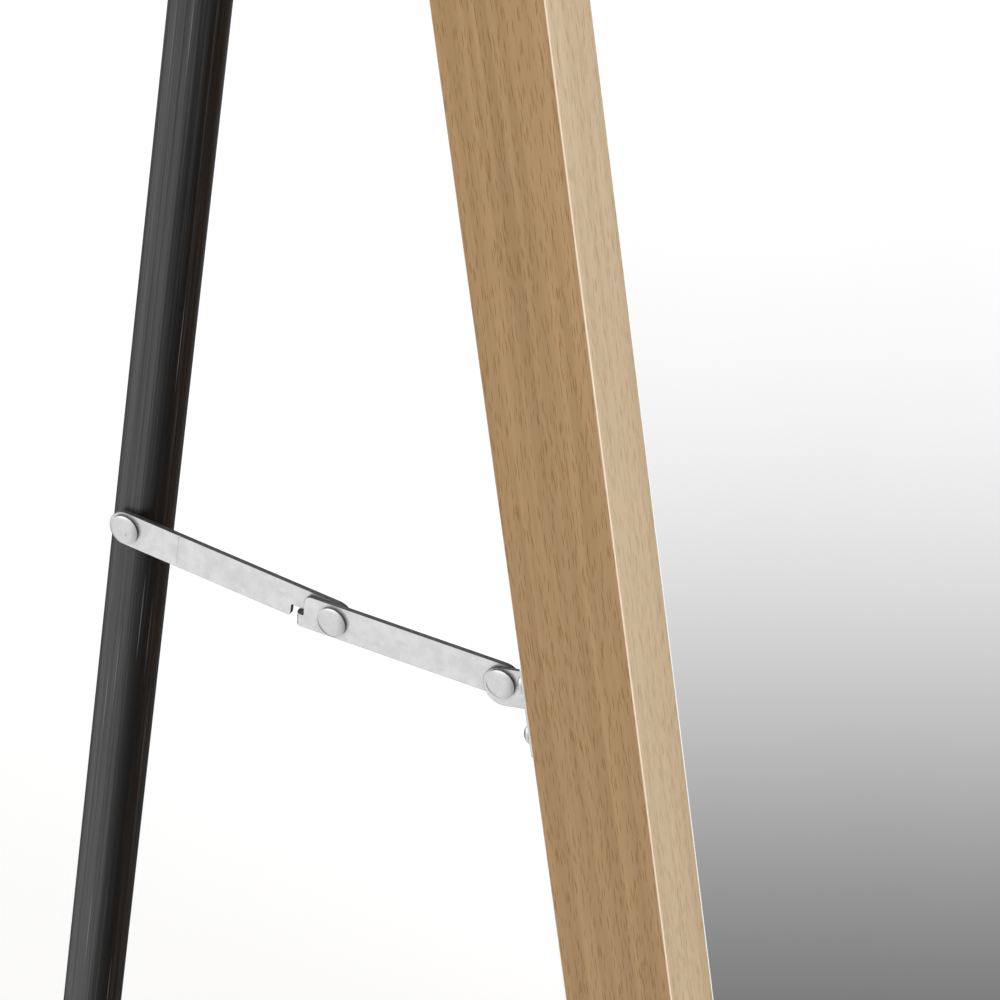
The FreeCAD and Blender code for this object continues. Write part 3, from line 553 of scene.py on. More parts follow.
def dowel_wood(tree):
    """Turned beech with a fine fibre."""
    place = tree.row()
    fibre = tree.noise(place, (900, 900, 900), 4.0, 0.6)
    tree.surface({
        "Base Color": tree.mix(fibre, (0.42, 0.27, 0.14, 1.0), (0.60, 0.43, 0.26, 1.0)),
        "Roughness": tree.between(fibre, 0.55, 0.7),
        "Normal": tree.bump(fibre, 0.3, 0.0002),
    })


def foam_tape(tree):
    """White foam with open cells."""
    place = tree.row()
    cells = tree.noise(place, (1800, 1800, 1800), 3.0, 0.6)
    tree.surface({
        "Base Color": tree.mix(cells, grey(0.62), grey(0.82)),
        "Roughness": tree.between(cells, 0.75, 0.9),
        "Normal": tree.bump(cells, 0.4, 0.0002),
    })


BEECH = material("beech_flecked", beech)
TUBE_BLACK = material("satin_black_tube", black_tube)
ZINC = material("zinc_sheet", zinc, 0.63, 0.30, 0.42)
EDGE = material("zinc_sheared_edge", sheared_edge)
RIVET = material("rivet_plated", rivet_steel)
RIVET_WALL_SHADE = material("rivet_wall", rivet_wall)
SCREW = material("screw_zinc", screw_zinc, Tree.local)
HIDDEN_SCREW = material("screw_zinc_inner", screw_zinc, Tree.row)
PLASTIC = material("black_moulded_plastic", moulded, 0.012, 0.020, 0.46, 1500, 0.35)
RUBBER = material("black_rubber_matt", moulded, 0.010, 0.017, 0.72, 900, 0.45)
MIRROR = material("mirror_silver", mirror)
GLASS_EDGE_HIGHLIGHT = material("glass_ground_edge_highlight", glass_edge_highlight)
HARDBOARD = material("hardboard_screened", hardboard)
DOWEL = material("dowel_beech", dowel_wood)
TAPE = material("foam_tape_white", foam_tape)
PLATED = [ZINC, EDGE]
RIVETED = [RIVET, RIVET_WALL_SHADE]


# ---------- mesh helpers

CIRCLE = 56
SCREW_CIRCLE = 40
SMOOTH_BELOW = math.radians(34)


def circle(radius, steps=CIRCLE):
    turns = [2 * math.pi * k / steps for k in range(steps)]
    return [Vector((radius * math.cos(turn), radius * math.sin(turn))) for turn in turns]


def rounded(corners, steps=7):
    """Anticlockwise outline from (x, y, corner radius) triples."""
    points = []
    for k, (x, y, radius) in enumerate(corners):
        here = Vector((x, y))
        back = (Vector(corners[k - 1][:2]) - here).normalized()
        ahead = (Vector(corners[(k + 1) % len(corners)][:2]) - here).normalized()
        if radius == 0:
            points.append(here)
            continue
        half = back.angle(ahead) / 2
        centre = here + (back + ahead).normalized() * (radius / math.sin(half))
        spoke = here + back * (radius / math.tan(half)) - centre
        turn = math.pi - 2 * half
        if back.x * ahead.y - back.y * ahead.x > 0:
            turn = -turn
        for i in range(steps + 1):
            points.append(centre + Matrix.Rotation(turn * i / steps, 2) @ spoke)
    return [p for k, p in enumerate(points) if (p - points[k - 1]).length > 1e-4]


def drawn_in(outline, distance):
    """The outline moved to its left along its corners' bisectors."""
    moved = []
    for k, point in enumerate(outline):
        before = (point - outline[k - 1]).normalized()
        after = (outline[(k + 1) % len(outline)] - point).normalized()
        left = [Vector((-edge.y, edge.x)) for edge in (before, after)]
        moved.append(point + (left[0] + left[1]) * distance / (1 + left[0].dot(left[1])))
    return moved


def ring_of(bm, points):
    return [bm.verts.new(point) for point in points]


def skin(bm, rings, material_index=0):
    """Quads between neighbouring rings of equal length."""
    faces = []
    for low, high in zip(rings, rings[1:]):
        for k in range(len(low)):
            face = bm.faces.new((low[k - 1], low[k], high[k], high[k - 1]))
            face.material_index = material_index
            faces.append(face)
    return faces


def plate(outline, thickness, ease, holes=(), slots=(0, 1, 1), steps=3):
    """Blank in the XY plane from Z = 0 up with eased rims; slots are face, wall and rim."""
    bm = bmesh.new()
    face_slot, wall_slot, rim_slot = slots
    quarter = [math.pi / 2 * k / steps for k in range(steps + 1)]
    levels = [(ease * (1 - math.sin(t)), ease * (1 - math.cos(t))) for t in quarter]
    levels += [(inward, thickness - height) for inward, height in reversed(levels)]
    ends = {0: [], len(levels) - 1: []}
    for loop in [outline] + [list(reversed(hole)) for hole in holes]:
        rings = []
        for inward, height in levels:
            points = drawn_in(loop, inward)
            rings.append(ring_of(bm, [Vector((p.x, p.y, height)) for p in points]))
        skin(bm, rings[: steps + 1], rim_slot)
        skin(bm, rings[steps : steps + 2], wall_slot)
        skin(bm, rings[steps + 1 :], rim_slot)
        for level, edges in ends.items():
            ring = rings[level]
            edges += [bm.edges.get((ring[k - 1], ring[k])) for k in range(len(ring))]
    for edges in ends.values():
        filled = bmesh.ops.triangle_fill(bm, use_beauty=True, edges=edges)
        for face in filled["geom"]:
            if isinstance(face, bmesh.types.BMFace):
                face.material_index = face_slot
    return bm


def sliced(bm, x):
    """Cuts every face that crosses the plane at x."""
    cut = bm.verts[:] + bm.edges[:] + bm.faces[:]
    bmesh.ops.bisect_plane(bm, geom=cut, plane_co=(x, 0, 0), plane_no=(1, 0, 0))


def fold_arc(outer_radius, thickness):
    """Length of sheet that a right-angle fold takes, measured at half its thickness."""
    return math.pi / 2 * (outer_radius - thickness / 2)


def fold(bm, outer_radius, thickness, steps=7):
    """Turns the blank beyond X = 0 up through a right angle; Z = 0 is the outside."""
    arc = fold_arc(outer_radius, thickness)
    for k in range(steps + 1):
        sliced(bm, arc * k / steps)
    for vert in bm.verts:
        run = vert.co.x
        if run > 0:
            turn = min(run / arc, 1.0) * math.pi / 2
            reach = outer_radius - vert.co.z
            vert.co.x = reach * math.sin(turn)
            vert.co.z = outer_radius - reach * math.cos(turn) + max(run - arc, 0.0)


def lathe(profile, segments=CIRCLE):
    """Solid of revolution about Z from (radius, height) pairs that start and end on it."""
    bm = bmesh.new()
    rings = [
        ring_of(bm, [Vector((p.x, p.y, height)) for p in circle(radius, segments)])
        for radius, height in profile[1:-1]
    ]
    skin(bm, rings)
    for (_, height), ring in ((profile[0], rings[0]), (profile[-1], rings[-1])):
        tip = bm.verts.new((0, 0, height))
        for k in range(segments):
            bm.faces.new((ring[k - 1], ring[k], tip))
    return bm


def dome(radius, height, rim, steps=14):
    """(radius, height) pairs from the rim of a domed head in to its crown."""
    swell = height - rim
    ball = (radius**2 + swell**2) / (2 * swell)
    whole = math.asin(radius / ball)
    pairs = []
    for k in range(steps + 1):
        turn = whole * (1 - k / steps)
        pairs.append((ball * math.sin(turn), height - ball + ball * math.cos(turn)))
    return pairs


def carved(bm, cutter):
    """The blank with the cutter's shape taken away."""
    parts = []
    for label, part in (("carved", bm), ("cutter", cutter)):
        bmesh.ops.recalc_face_normals(part, faces=part.faces[:])
        mesh = bpy.data.meshes.new(label)
        part.to_mesh(mesh)
        part.free()
        parts.append(bpy.data.objects.new(label, mesh))
        bpy.context.scene.collection.objects.link(parts[-1])
    cut = parts[0].modifiers.new("cut", "BOOLEAN")
    cut.operation = "DIFFERENCE"
    cut.solver = "EXACT"
    cut.object = parts[1]
    done = bpy.data.meshes.new_from_object(
        parts[0].evaluated_get(bpy.context.evaluated_depsgraph_get())
    )
    result = bmesh.new()
    result.from_mesh(done)
    for part in parts:
        bpy.data.objects.remove(part)
    return result


def copied(bm, places):
    """One blank holding a copy of another at each place."""
    mesh = bpy.data.meshes.new("copy")
    bm.to_mesh(mesh)
    bm.free()
    result = bmesh.new()
    for place in places:
        start = len(result.verts)
        result.from_mesh(mesh)
        result.verts.ensure_lookup_table()
        bmesh.ops.transform(result, matrix=place, verts=result.verts[start:])
    return result


def piece(node, bm, place, body, materials, side="left"):
    """Puts a blank in place as the piece that stands for a CAD node."""
    store = bm.verts.layers.float_vector
    local = store.get("local")
    shift = Vector([random.Random(node + axis).uniform(-3, 3) for axis in "xyz"])
    if local is None:
        local = store.new("local")
        for vert in bm.verts:
            vert[local] = vert.co * MM
    for vert in bm.verts:
        vert[local] = vert[local] + shift
    hand = Matrix.Scale(-1, 4, (1, 0, 0)) if side == "right" else Matrix.Identity(4)
    bm.transform(Matrix.Scale(MM, 4) @ hand @ place)
    bmesh.ops.recalc_face_normals(bm, faces=bm.faces[:])
    if bm.calc_volume(signed=True) < 0:
        bmesh.ops.reverse_faces(bm, faces=bm.faces[:])
    mesh = bpy.data.meshes.new(node + "_mesh")
    bm.to_mesh(mesh)
    bm.free()
    for item in materials:
        mesh.materials.append(item)
    mesh.shade_smooth()
    mesh.set_sharp_from_angle(angle=SMOOTH_BELOW)
    made = bpy.data.objects.new(node + "_look", mesh)
    bpy.context.scene.collection.objects.link(made)
    weighted = made.modifiers.new("even_shading", "WEIGHTED_NORMAL")
    weighted.keep_sharp = True
    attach(made, body)
    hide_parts(node)
    return made


# Turns of a blank: thickness along X, Z outboard or inboard, upright, and facing the front.
ON_SIDE = Matrix(((0, 0, 1, 0), (1, 0, 0, 0), (0, 1, 0, 0), (0, 0, 0, 1)))
OUTBOARD = Matrix(((0, 0, -1, 0), (1, 0, 0, 0), (0, -1, 0, 0), (0, 0, 0, 1)))
INBOARD = Matrix.Rotation(math.pi / 2, 4, "Y")
UPRIGHT = Matrix(((1, 0, 0, 0), (0, 0, 1, 0), (0, 1, 0, 0), (0, 0, 0, 1)))
FRONT_UP = Matrix(((1, 0, 0, 0), (0, 0, -1, 0), (0, 1, 0, 0), (0, 0, 0, 1)))


def at(x=0.0, y=0.0, z=0.0):
    return Matrix.Translation((x, y, z))


# ---------- wooden frame

def moulding(shrink):
    """Section of the moulding as (across, depth, arris highlight, share of the front's painted
    sheen), from the back.
    """
    front = -FRAME_DEPTH + shrink
    ledge = -FRAME_DEPTH + REBATE + shrink
    back = -shrink
    face = FACE_WIDTH - shrink
    inner = FACE_WIDTH + LEDGE_WIDTH - shrink
    section = []
    for centre_y, first in ((back - ARRIS, math.pi / 2), (front + ARRIS, math.pi)):
        for k, highlight_share in enumerate(ARRIS_HIGHLIGHT):
            share = k / (len(ARRIS_HIGHLIGHT) - 1)
            turn = first + math.pi / 2 * share
            across = shrink + ARRIS + ARRIS * math.cos(turn)
            # The front face's painted sheen starts across the front arris.
            sheen_share = share if first == math.pi else 0.0
            section.append((across, centre_y + ARRIS * math.sin(turn), highlight_share, sheen_share))
    return section + [
        (face - INNER_EASE, front, 0.0, 0.8),
        (face, front + INNER_EASE, 0.0, 0.3),
        (face, ledge, 0.0, 0.0),
        (inner, ledge, 0.0, 0.0),
        (inner, back - INNER_EASE, 0.2, 0.0),
        (inner - INNER_EASE, back, 0.2, 0.0),
    ]


def member(length):
    """Mitred moulding with axes across, depth and along, its middle at 0."""
    bm = bmesh.new()
    numbers = bm.verts.layers.float
    # Each point stores its share of the painted arris highlight and of the front face's painted
    # sheen.
    for name in ("arris", "front"):
        numbers.new(name)
    highlight_layer, sheen_layer = numbers["arris"], numbers["front"]
    rings = []
    half = length / 2
    for end in (-1, 1):
        levels = ((MITRE_EASE, 0.0), (0.0, MITRE_EASE))
        for shrink, pull in levels[:: -end]:
            ring = []
            for across, depth, highlight_share, sheen_share in moulding(shrink):
                vert = bm.verts.new((across, depth, end * (half - across - pull)))
                vert[highlight_layer] = highlight_share
                vert[sheen_layer] = sheen_share
                ring.append(vert)
            rings.append(ring)
    skin(bm, rings)
    caps = [bm.faces.new(rings[0]), bm.faces.new(rings[-1])]
    bmesh.ops.triangulate(bm, faces=caps, ngon_method="EAR_CLIP")
    return bm


def member_place(across, along, corner, centre):
    """Axes of a member whose outer edge is at corner and whose length lies along."""
    place = Matrix.Identity(4)
    for row in range(3):
        place[row] = across[row], (0, 1, 0)[row], along[row], (corner + centre)[row]
    return place


def build_frame():
    half_length = Vector((0, 0, FRAME_LENGTH / 2))
    half_width = Vector((frame_width / 2, 0, 0))
    members = {
        "stile_left": (FRAME_LENGTH, (1, 0, 0), (0, 0, 1), -half_width, half_length),
        "stile_right": (FRAME_LENGTH, (-1, 0, 0), (0, 0, 1), half_width, half_length),
        "rail_bottom": (frame_width, (0, 0, 1), (1, 0, 0), Vector(), Vector()),
        "rail_top": (frame_width, (0, 0, -1), (1, 0, 0), half_length, half_length),
    }
    for node, (length, across, along, corner, centre) in members.items():
        place = frame_axes @ member_place(across, along, corner, centre)
        piece(node, member(length), place, "frame", [BEECH])


def build_glass():
    low = FACE_WIDTH + SHEET_GAP
    half = frame_width / 2 - low
    high = FRAME_LENGTH - low
    outline = rounded([(-half, low, 0), (half, low, 0), (half, high, 0), (-half, high, 0)])
    bm = plate(outline, GLASS_THICK, GLASS_BEVEL, steps=1)
    place = frame_axes @ at(y=-FRAME_DEPTH + GLASS_THICK) @ FRONT_UP
    # The sheet's wall and eased rims take the painted highlight of the glass rim.
    piece("mirror_glass", bm, place, "frame", [MIRROR, GLASS_EDGE_HIGHLIGHT])


def build_feet():
    front = -(FRAME_DEPTH + FOOT_DEPTH) / 2
    back = -(FRAME_DEPTH - FOOT_DEPTH) / 2
    floor = [y * math.tan(lean) - FOOT_RISE / math.cos(lean) for y in (front, back)]
    corners = [(front, floor[0], 0), (back, floor[1], 0), (back, 0, 0), (front, 0, 0)]
    x = side_face + FOOT_INSET
    for side in SIDES:
        bm = plate(rounded(corners), FOOT_WIDTH, FOOT_EASE, slots=(0, 0, 0), steps=4)
        bm.transform(ON_SIDE)
        recess = lathe([
            (0, -FOOT_CUT),
            (FOOT_RECESS, -FOOT_CUT),
            (FOOT_RECESS, -FOOT_SEAT),
            (0, -FOOT_SEAT),
        ])
        recess.transform(at(FOOT_WIDTH / 2, -FRAME_DEPTH / 2, 0))
        place = frame_axes @ at(x - FOOT_WIDTH / 2)
        node = f"frame_foot_{side}"
        piece(node, carved(bm, recess), place, "frame", [PLASTIC], side)


# ---------- brackets, rivets and screws

def bracket(offset, thick, ear, drop, ear_x, span, pin, screws):
    """L-shaped plate with its fold on the back of the stile and a round ear standing out."""
    radius = thick + PLATE_FOLD
    edge_x = side_face + FLANGE_INSET
    fold_x = ear_x + thick - radius
    tip = fold_arc(radius, thick) + offset - radius + ear
    low, high = span
    outline = rounded([
        (edge_x - fold_x, low, FLANGE_CORNER),
        (-FOLD_RELIEF, low, RELIEF_CORNER),
        (-FOLD_RELIEF, -ear - drop, EAR_CORNER),
        (tip, -ear - drop, ear),
        (tip, ear - drop, ear),
        (-FOLD_RELIEF, ear - drop, EAR_CORNER),
        (-FOLD_RELIEF, high, RELIEF_CORNER),
        (edge_x - fold_x, high, FLANGE_CORNER),
    ])
    holes = [[p + Vector((tip - ear, 0)) for p in circle(pin + RUNNING_FIT)]]
    for station in screws:
        centre = Vector((side_face + SCREW_INSET - fold_x, station))
        holes.append([p + centre for p in circle(SCREW_RADIUS)])
    bm = plate(outline, thick, PLATE_EASE, holes)
    fold(bm, radius, thick)
    bm.transform(at(fold_x) @ UPRIGHT)
    for face in bm.faces:
        if face.calc_center_median().x < edge_x + thick:
            face.material_index = 0
    return bm


def rivet(head, height, pin, reach, tail, tail_height, dimple=None):
    """Domed rivet about Z: the head is above Z = 0, the pin and the tail below."""
    rim = HEAD_RIM * height
    end = -reach - tail_height
    profile = [(0, end)]
    if tail_height > 0:
        profile += [(tail - HEAD_EASE, end), (tail, end + HEAD_EASE)]
        profile += [(tail, -reach - HEAD_EASE), (tail - HEAD_EASE, -reach)]
    profile += [(pin, -reach), (pin, 0), (head - HEAD_EASE, 0), (head, HEAD_EASE)]
    profile += dome(head, height, rim)[:-1] + [(0, height)]
    bm = lathe(profile)
    # The wall under the head takes the second slot, with its dark painted shade.
    for face in bm.faces:
        if 0 < face.calc_center_median().z < rim:
            face.material_index = 1
    if dimple:
        centre, spread, depth = dimple
        for vert in bm.verts:
            away = (vert.co.xy - Vector(centre)).length
            if vert.co.z > rim and away < spread:
                vert.co.z -= depth * (1 - (away / spread) ** 2)
    return bm


def screw():
    """Pan-head screw about Z with a cross recess; the plate's face is at Z = 0."""
    profile = [
        (0, -SCREW_LENGTH),
        (SCREW_RADIUS * SCREW_TIP_SHARE, -SCREW_LENGTH + SCREW_TIP),
        (SCREW_RADIUS, -SCREW_LENGTH + SCREW_TAPER),
        (SCREW_RADIUS, 0),
        (SCREW_HEAD - SCREW_HEAD_EASE, 0),
        (SCREW_HEAD, SCREW_HEAD_EASE),
    ]
    profile += dome(SCREW_HEAD, SCREW_HEAD_HEIGHT, SCREW_RIM * SCREW_HEAD_HEIGHT, 8)[:-1]
    profile.append((0, SCREW_HEAD_HEIGHT))
    head = lathe(profile, SCREW_CIRCLE)
    reach, narrow = CROSS_REACH * SCREW_HEAD, CROSS_WIDTH * SCREW_HEAD
    corners = []
    for quarter in range(4):
        turn = Matrix.Rotation(math.pi / 2 * quarter, 2)
        for x, y in ((narrow, narrow), (narrow, reach), (-narrow, reach)):
            corners.append(turn @ Vector((x, y)))
    cutter = bmesh.new()
    heights = (CROSS_FLOOR * SCREW_HEAD_HEIGHT, SCREW_HEAD_HEIGHT + CROSS_OVERSHOOT)
    rings = [
        ring_of(cutter, [Vector((p.x * size, p.y * size, height)) for p in corners])
        for size, height in zip(CROSS_SIZES, heights)
    ]
    skin(cutter, rings)
    caps = [cutter.faces.new(ring) for ring in rings]
    bmesh.ops.triangulate(cutter, faces=caps, ngon_method="EAR_CLIP")
    return carved(head, cutter)


def build_screws(node, station, offsets, thick):
    x = side_face + SCREW_INSET
    rearward = Matrix.Rotation(-math.pi / 2, 4, "X")
    places = []
    for hand in (1, -1):
        for k, offset in enumerate(offsets):
            degrees = SCREW_TURN + SCREW_TURN_STEP * k + SCREW_TURN_HAND * hand
            turn = Matrix.Rotation(math.radians(degrees), 4, "Z")
            places.append(at(hand * x, thick, station + offset) @ rearward @ turn)
    bm = copied(screw(), places)
    piece(node, bm, frame_axes, "frame", [SCREW])


def build_hinges():
    ear_x = leg_x - TUBE_RADIUS - HINGE_CLEARANCE - HINGE_PLATE
    reach = HINGE_PLATE + HINGE_CLEARANCE + 2 * TUBE_RADIUS + TAIL_GAP
    place = frame_axes @ at(z=hinge_station)
    pivot_place = place @ at(ear_x, HINGE_OFFSET) @ OUTBOARD
    for side in SIDES:
        sheet = (HINGE_OFFSET, HINGE_PLATE, HINGE_EAR, 0, ear_x, HINGE_SPAN)
        bm = bracket(*sheet, HINGE_PIN, HINGE_SCREWS)
        piece(f"hinge_bracket_{side}", bm, place, "frame", PLATED, side)
        bm = rivet(
            HINGE_HEAD, HINGE_HEAD_HEIGHT, HINGE_PIN, reach, HINGE_TAIL, HINGE_TAIL_HEIGHT
        )
        piece(f"hinge_rivet_{side}", bm, pivot_place, "frame", RIVETED, side)
    build_screws("hinge_bracket_screws", hinge_station, HINGE_SCREWS, HINGE_PLATE)


def build_stay_brackets():
    ear_x = side_face + EAR_INSET
    reach = STAY_PLATE + LINK_GAP + LINK_THICK
    place = frame_axes @ at(z=STAY_STATION)
    pivot_place = place @ at(ear_x, STAY_OFFSET) @ OUTBOARD
    for side in SIDES:
        sheet = (STAY_OFFSET, STAY_PLATE, STAY_EAR, STAY_EAR_DROP, ear_x, STAY_SPAN)
        bm = bracket(*sheet, PIN_RADIUS, STAY_SCREWS)
        piece(f"stay_bracket_{side}", bm, place, "frame", PLATED, side)
        bm = rivet(HEAD_RADIUS, HEAD_HEIGHT, PIN_RADIUS, reach, 0, 0)
        node = f"stay_bracket_rivet_{side}"
        piece(node, bm, pivot_place, "frame", RIVETED, side)
    build_screws("stay_bracket_screws", STAY_STATION, STAY_SCREWS, STAY_PLATE)


# ---------- tube stand

STRAIGHT_STEPS = 24
BEND_STEPS = 20
SLEEVE_STEPS = 4
SLEEVE_CIRCLE = 72


def tube_route():
    """(x, z, heading) along the U from the left leg's top to the right one's."""
    bottom = -leg_length
    inner = leg_x + BEND_RADIUS
    route = []
    for k in range(STRAIGHT_STEPS):
        z = TUBE_OVERRUN + (bottom + BEND_RADIUS - TUBE_OVERRUN) * k / STRAIGHT_STEPS
        route.append((leg_x, z, 0.0))
    for k in range(BEND_STEPS):
        turn = math.pi / 2 * k / BEND_STEPS
        x = inner - BEND_RADIUS * math.cos(turn)
        z = bottom + BEND_RADIUS - BEND_RADIUS * math.sin(turn)
        route.append((x, z, turn))
    route.append((inner, bottom, math.pi / 2))
    twin = [(-x, z, math.pi - turn) for x, z, turn in reversed(route)]
    return route + twin


def build_tube():
    bm = bmesh.new()
    local = bm.verts.layers.float_vector.new("local")
    rings = []
    run = 0.0
    before = None
    for x, z, heading in tube_route():
        here = Vector((x, 0, z))
        run += (here - before).length if before else 0.0
        before = here
        outward = Vector((-math.cos(heading), 0, -math.sin(heading)))
        ring = []
        for p in circle(TUBE_RADIUS):
            vert = bm.verts.new(here + outward * p.x + Vector((0, p.y, 0)))
            vert[local] = Vector((p.x, p.y, run)) * MM
            ring.append(vert)
        rings.append(ring)
    skin(bm, rings)
    for ring in (rings[0], rings[-1]):
        bm.faces.new(ring)
    piece("stand_tube", bm, stand_axes, "stand", [TUBE_BLACK])


def build_tube_ends():
    bore = TUBE_RADIUS - TUBE_WALL - RUNNING_FIT
    profile = [
        (0, -CAP_PLUG),
        (bore - CAP_LEAD_WIDTH, -CAP_PLUG),
        (bore, -CAP_PLUG + CAP_LEAD_LENGTH),
        (bore, 0),
        (TUBE_RADIUS - CAP_RIM_INSET, 0),
        (TUBE_RADIUS, CAP_RIM_EASE),
        (TUBE_RADIUS, CAP_RIM_TOP),
    ]
    profile += dome(TUBE_RADIUS - CAP_CROWN_INSET, CAP_FLANGE, CAP_CROWN_START, 10)[:-1]
    profile.append((0, CAP_FLANGE))
    foot_y = middle("stand_foot_left").y
    foot_low, foot_high = (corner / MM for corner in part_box("stand_foot_left"))
    cap_place = stand_axes @ at(leg_x, 0, TUBE_OVERRUN)
    foot_place = at(foot_low.x, foot_y, CROSSBAR_HEIGHT)
    rivet_place = stand_axes @ at(leg_link_x, 0, -stay_drop) @ OUTBOARD
    reach = leg_x - TUBE_RADIUS + TUBE_WALL + TAIL_GAP - leg_link_x
    for side in SIDES:
        bm = lathe(profile)
        piece(f"tube_cap_{side}", bm, cap_place, "stand", [PLASTIC], side)
        bm = sleeve(foot_high.x - foot_low.x)
        piece(f"stand_foot_{side}", bm, foot_place, "stand", [RUBBER], side)
        bm = rivet(
            HEAD_RADIUS, HEAD_HEIGHT, PIN_RADIUS, reach, TAIL_RADIUS, TAIL_HEIGHT, LEG_DIMPLE
        )
        piece(f"stay_leg_rivet_{side}", bm, rivet_place, "stand", RIVETED, side)


def sleeve(length):
    """Rubber sleeve about X with grooves round it, flat where it rests on the floor."""
    bm = bmesh.new()
    stations = [(0.0, TUBE_RADIUS + RUNNING_FIT), (0.0, SLEEVE_RADIUS - SLEEVE_EASE)]
    for k in range(1, SLEEVE_STEPS + 1):
        turn = math.pi / 2 * k / SLEEVE_STEPS
        drop = SLEEVE_EASE * (1 - math.sin(turn))
        stations.append((SLEEVE_EASE * (1 - math.cos(turn)), SLEEVE_RADIUS - drop))
    end = list(stations)
    pitch = (length - 2 * SLEEVE_EASE) / (SLEEVE_GROOVES + 1)
    groove = (
        (-GROOVE_SHOULDER, 0),
        (-GROOVE_FLOOR, GROOVE_DEPTH),
        (GROOVE_FLOOR, GROOVE_DEPTH),
        (GROOVE_SHOULDER, 0),
    )
    for k in range(1, SLEEVE_GROOVES + 1):
        centre = SLEEVE_EASE + pitch * k
        stations += [(centre + x, SLEEVE_RADIUS - depth) for x, depth in groove]
    stations += [(length - x, radius) for x, radius in reversed(end)]
    rings = []
    for x, radius in stations:
        around = circle(radius, SLEEVE_CIRCLE)
        rings.append(ring_of(bm, [(x, p.x, max(p.y, -CROSSBAR_HEIGHT)) for p in around]))
    rings.append(rings[0])
    skin(bm, rings)
    return bm


# ---------- folding stay

def link_holes(*stations):
    hole = circle(PIN_RADIUS + RUNNING_FIT)
    return [[p + Vector((x, 0)) for p in hole] for x in stations]


def leg_link():
    """Link on the leg: round ends, a notch for the other link's stop tab and a crease."""
    half = LINK_WIDTH / 2
    far = -leg_link_length - half
    notch_near = NOTCH_START - leg_link_length
    notch_far = notch_near - NOTCH_WIDTH
    top = -half + NOTCH_DEPTH
    outline = rounded([
        (half, half, half),
        (far, half, half),
        (far, -half, half),
        (notch_far, -half, NOTCH_CORNERS[0]),
        (notch_far, top, NOTCH_CORNERS[1]),
        (notch_near, top, NOTCH_CORNERS[2]),
        (notch_near, -half, NOTCH_CORNERS[3]),
        (half, -half, half),
    ], LINK_CORNER_STEPS)
    bm = plate(outline, LINK_THICK, LINK_EASE, link_holes(0, -leg_link_length))
    for offset in (-CREASE_WIDTH, 0.0, CREASE_WIDTH):
        sliced(bm, -CREASE + offset)
    for vert in bm.verts:
        if abs(vert.co.x + CREASE) < CREASE_WIDTH / 2 and vert.co.z < LINK_THICK / 2:
            vert.co.z += CREASE_DEPTH
    bm.transform(ON_SIDE)
    return bm


def frame_link():
    """Link on the frame: its tail runs past the knee and folds in as a stop tab."""
    half = LINK_WIDTH / 2
    tail = frame_link_length + TAIL_LENGTH
    radius = LINK_THICK + TAB_FOLD
    bend = frame_link_length + TAB_REACH - radius
    tip = bend + fold_arc(radius, LINK_THICK) + 2 * LINK_THICK + 2 * LINK_GAP - radius
    outline = rounded([
        (-half, -half, half),
        (tip, -half, TAB_CORNERS[0]),
        (tip, -TAB_TOP, TAB_CORNERS[1]),
        (tail, -TAB_TOP, TAB_CORNERS[2]),
        (tail, half, TAIL_CORNER),
        (-half, half, half),
    ], LINK_CORNER_STEPS)
    outline = [p - Vector((bend, 0)) for p in outline]
    holes = link_holes(-bend, frame_link_length - bend)
    bm = plate(outline, LINK_THICK, LINK_EASE, holes)
    fold(bm, radius, LINK_THICK)
    bm.transform(ON_SIDE @ at(bend))
    return bm


def build_stays():
    leg_place = at(leg_link_x) @ leg_link_axes
    frame_place = at(frame_link_x) @ frame_link_axes
    head_place = frame_place @ at(y=frame_link_length) @ OUTBOARD
    tail_place = leg_place @ at(y=-leg_link_length) @ INBOARD
    tail_top = LINK_THICK + TAIL_HEIGHT
    profile = [(0, 0), (PIN_RADIUS, 0), (PIN_RADIUS, LINK_THICK), (TAIL_RADIUS, LINK_THICK)]
    profile += dome(TAIL_RADIUS, tail_top, LINK_THICK + TAIL_RIM, 8)[:-1] + [(0, tail_top)]
    for side in SIDES:
        leg_body, frame_body = f"leg_stay_{side}", f"frame_stay_{side}"
        bm = leg_link()
        piece(f"leg_link_{side}", bm, leg_place, leg_body, PLATED, side)
        bm = frame_link()
        piece(f"frame_link_{side}", bm, frame_place, frame_body, PLATED, side)
        bm = rivet(HEAD_RADIUS, HEAD_HEIGHT, PIN_RADIUS, LINK_THICK, 0, 0)
        piece(f"knee_rivet_{side}", bm, head_place, frame_body, RIVETED, side)
        bm = lathe(profile)
        piece(f"knee_tail_{side}", bm, tail_place, leg_body, RIVETED, side)


# ---------- CAD nodes that stay

def paint_cad_nodes():
    """Pieces whose CAD shape is right, and which are hidden or plain sheets."""
    finishes = {
        "backing_board": (HARDBOARD, "hardboard"),
        "mitre_dowels": (DOWEL, "dowel_wood"),
        "mirror_tape": (TAPE, "tape"),
        "backing_board_screws": (HIDDEN_SCREW, "zinc_screws"),
        "frame_foot_screws": (HIDDEN_SCREW, "zinc_screws"),
    }
    for node, (finish, slot) in finishes.items():
        nodes[node].data.materials.clear()
        nodes[node].data.materials.append(finish)


# ---------- studio

FLOOR_SIZE = 60.0
CAMERA_BESIDE = 1.15258
CAMERA_DEPTH = -0.68814
CAMERA_HEIGHT = 1.42635
CAMERA_AZIMUTH = -61.209
CAMERA_ELEVATION = 30.037
CAMERA_LENS = 188.14
CAMERA_SENSOR = 36.0
CAMERA_CLIP = (0.05, 200.0)
FLOOR_GLOW = 0.34
WORLD_GREY = 0.66
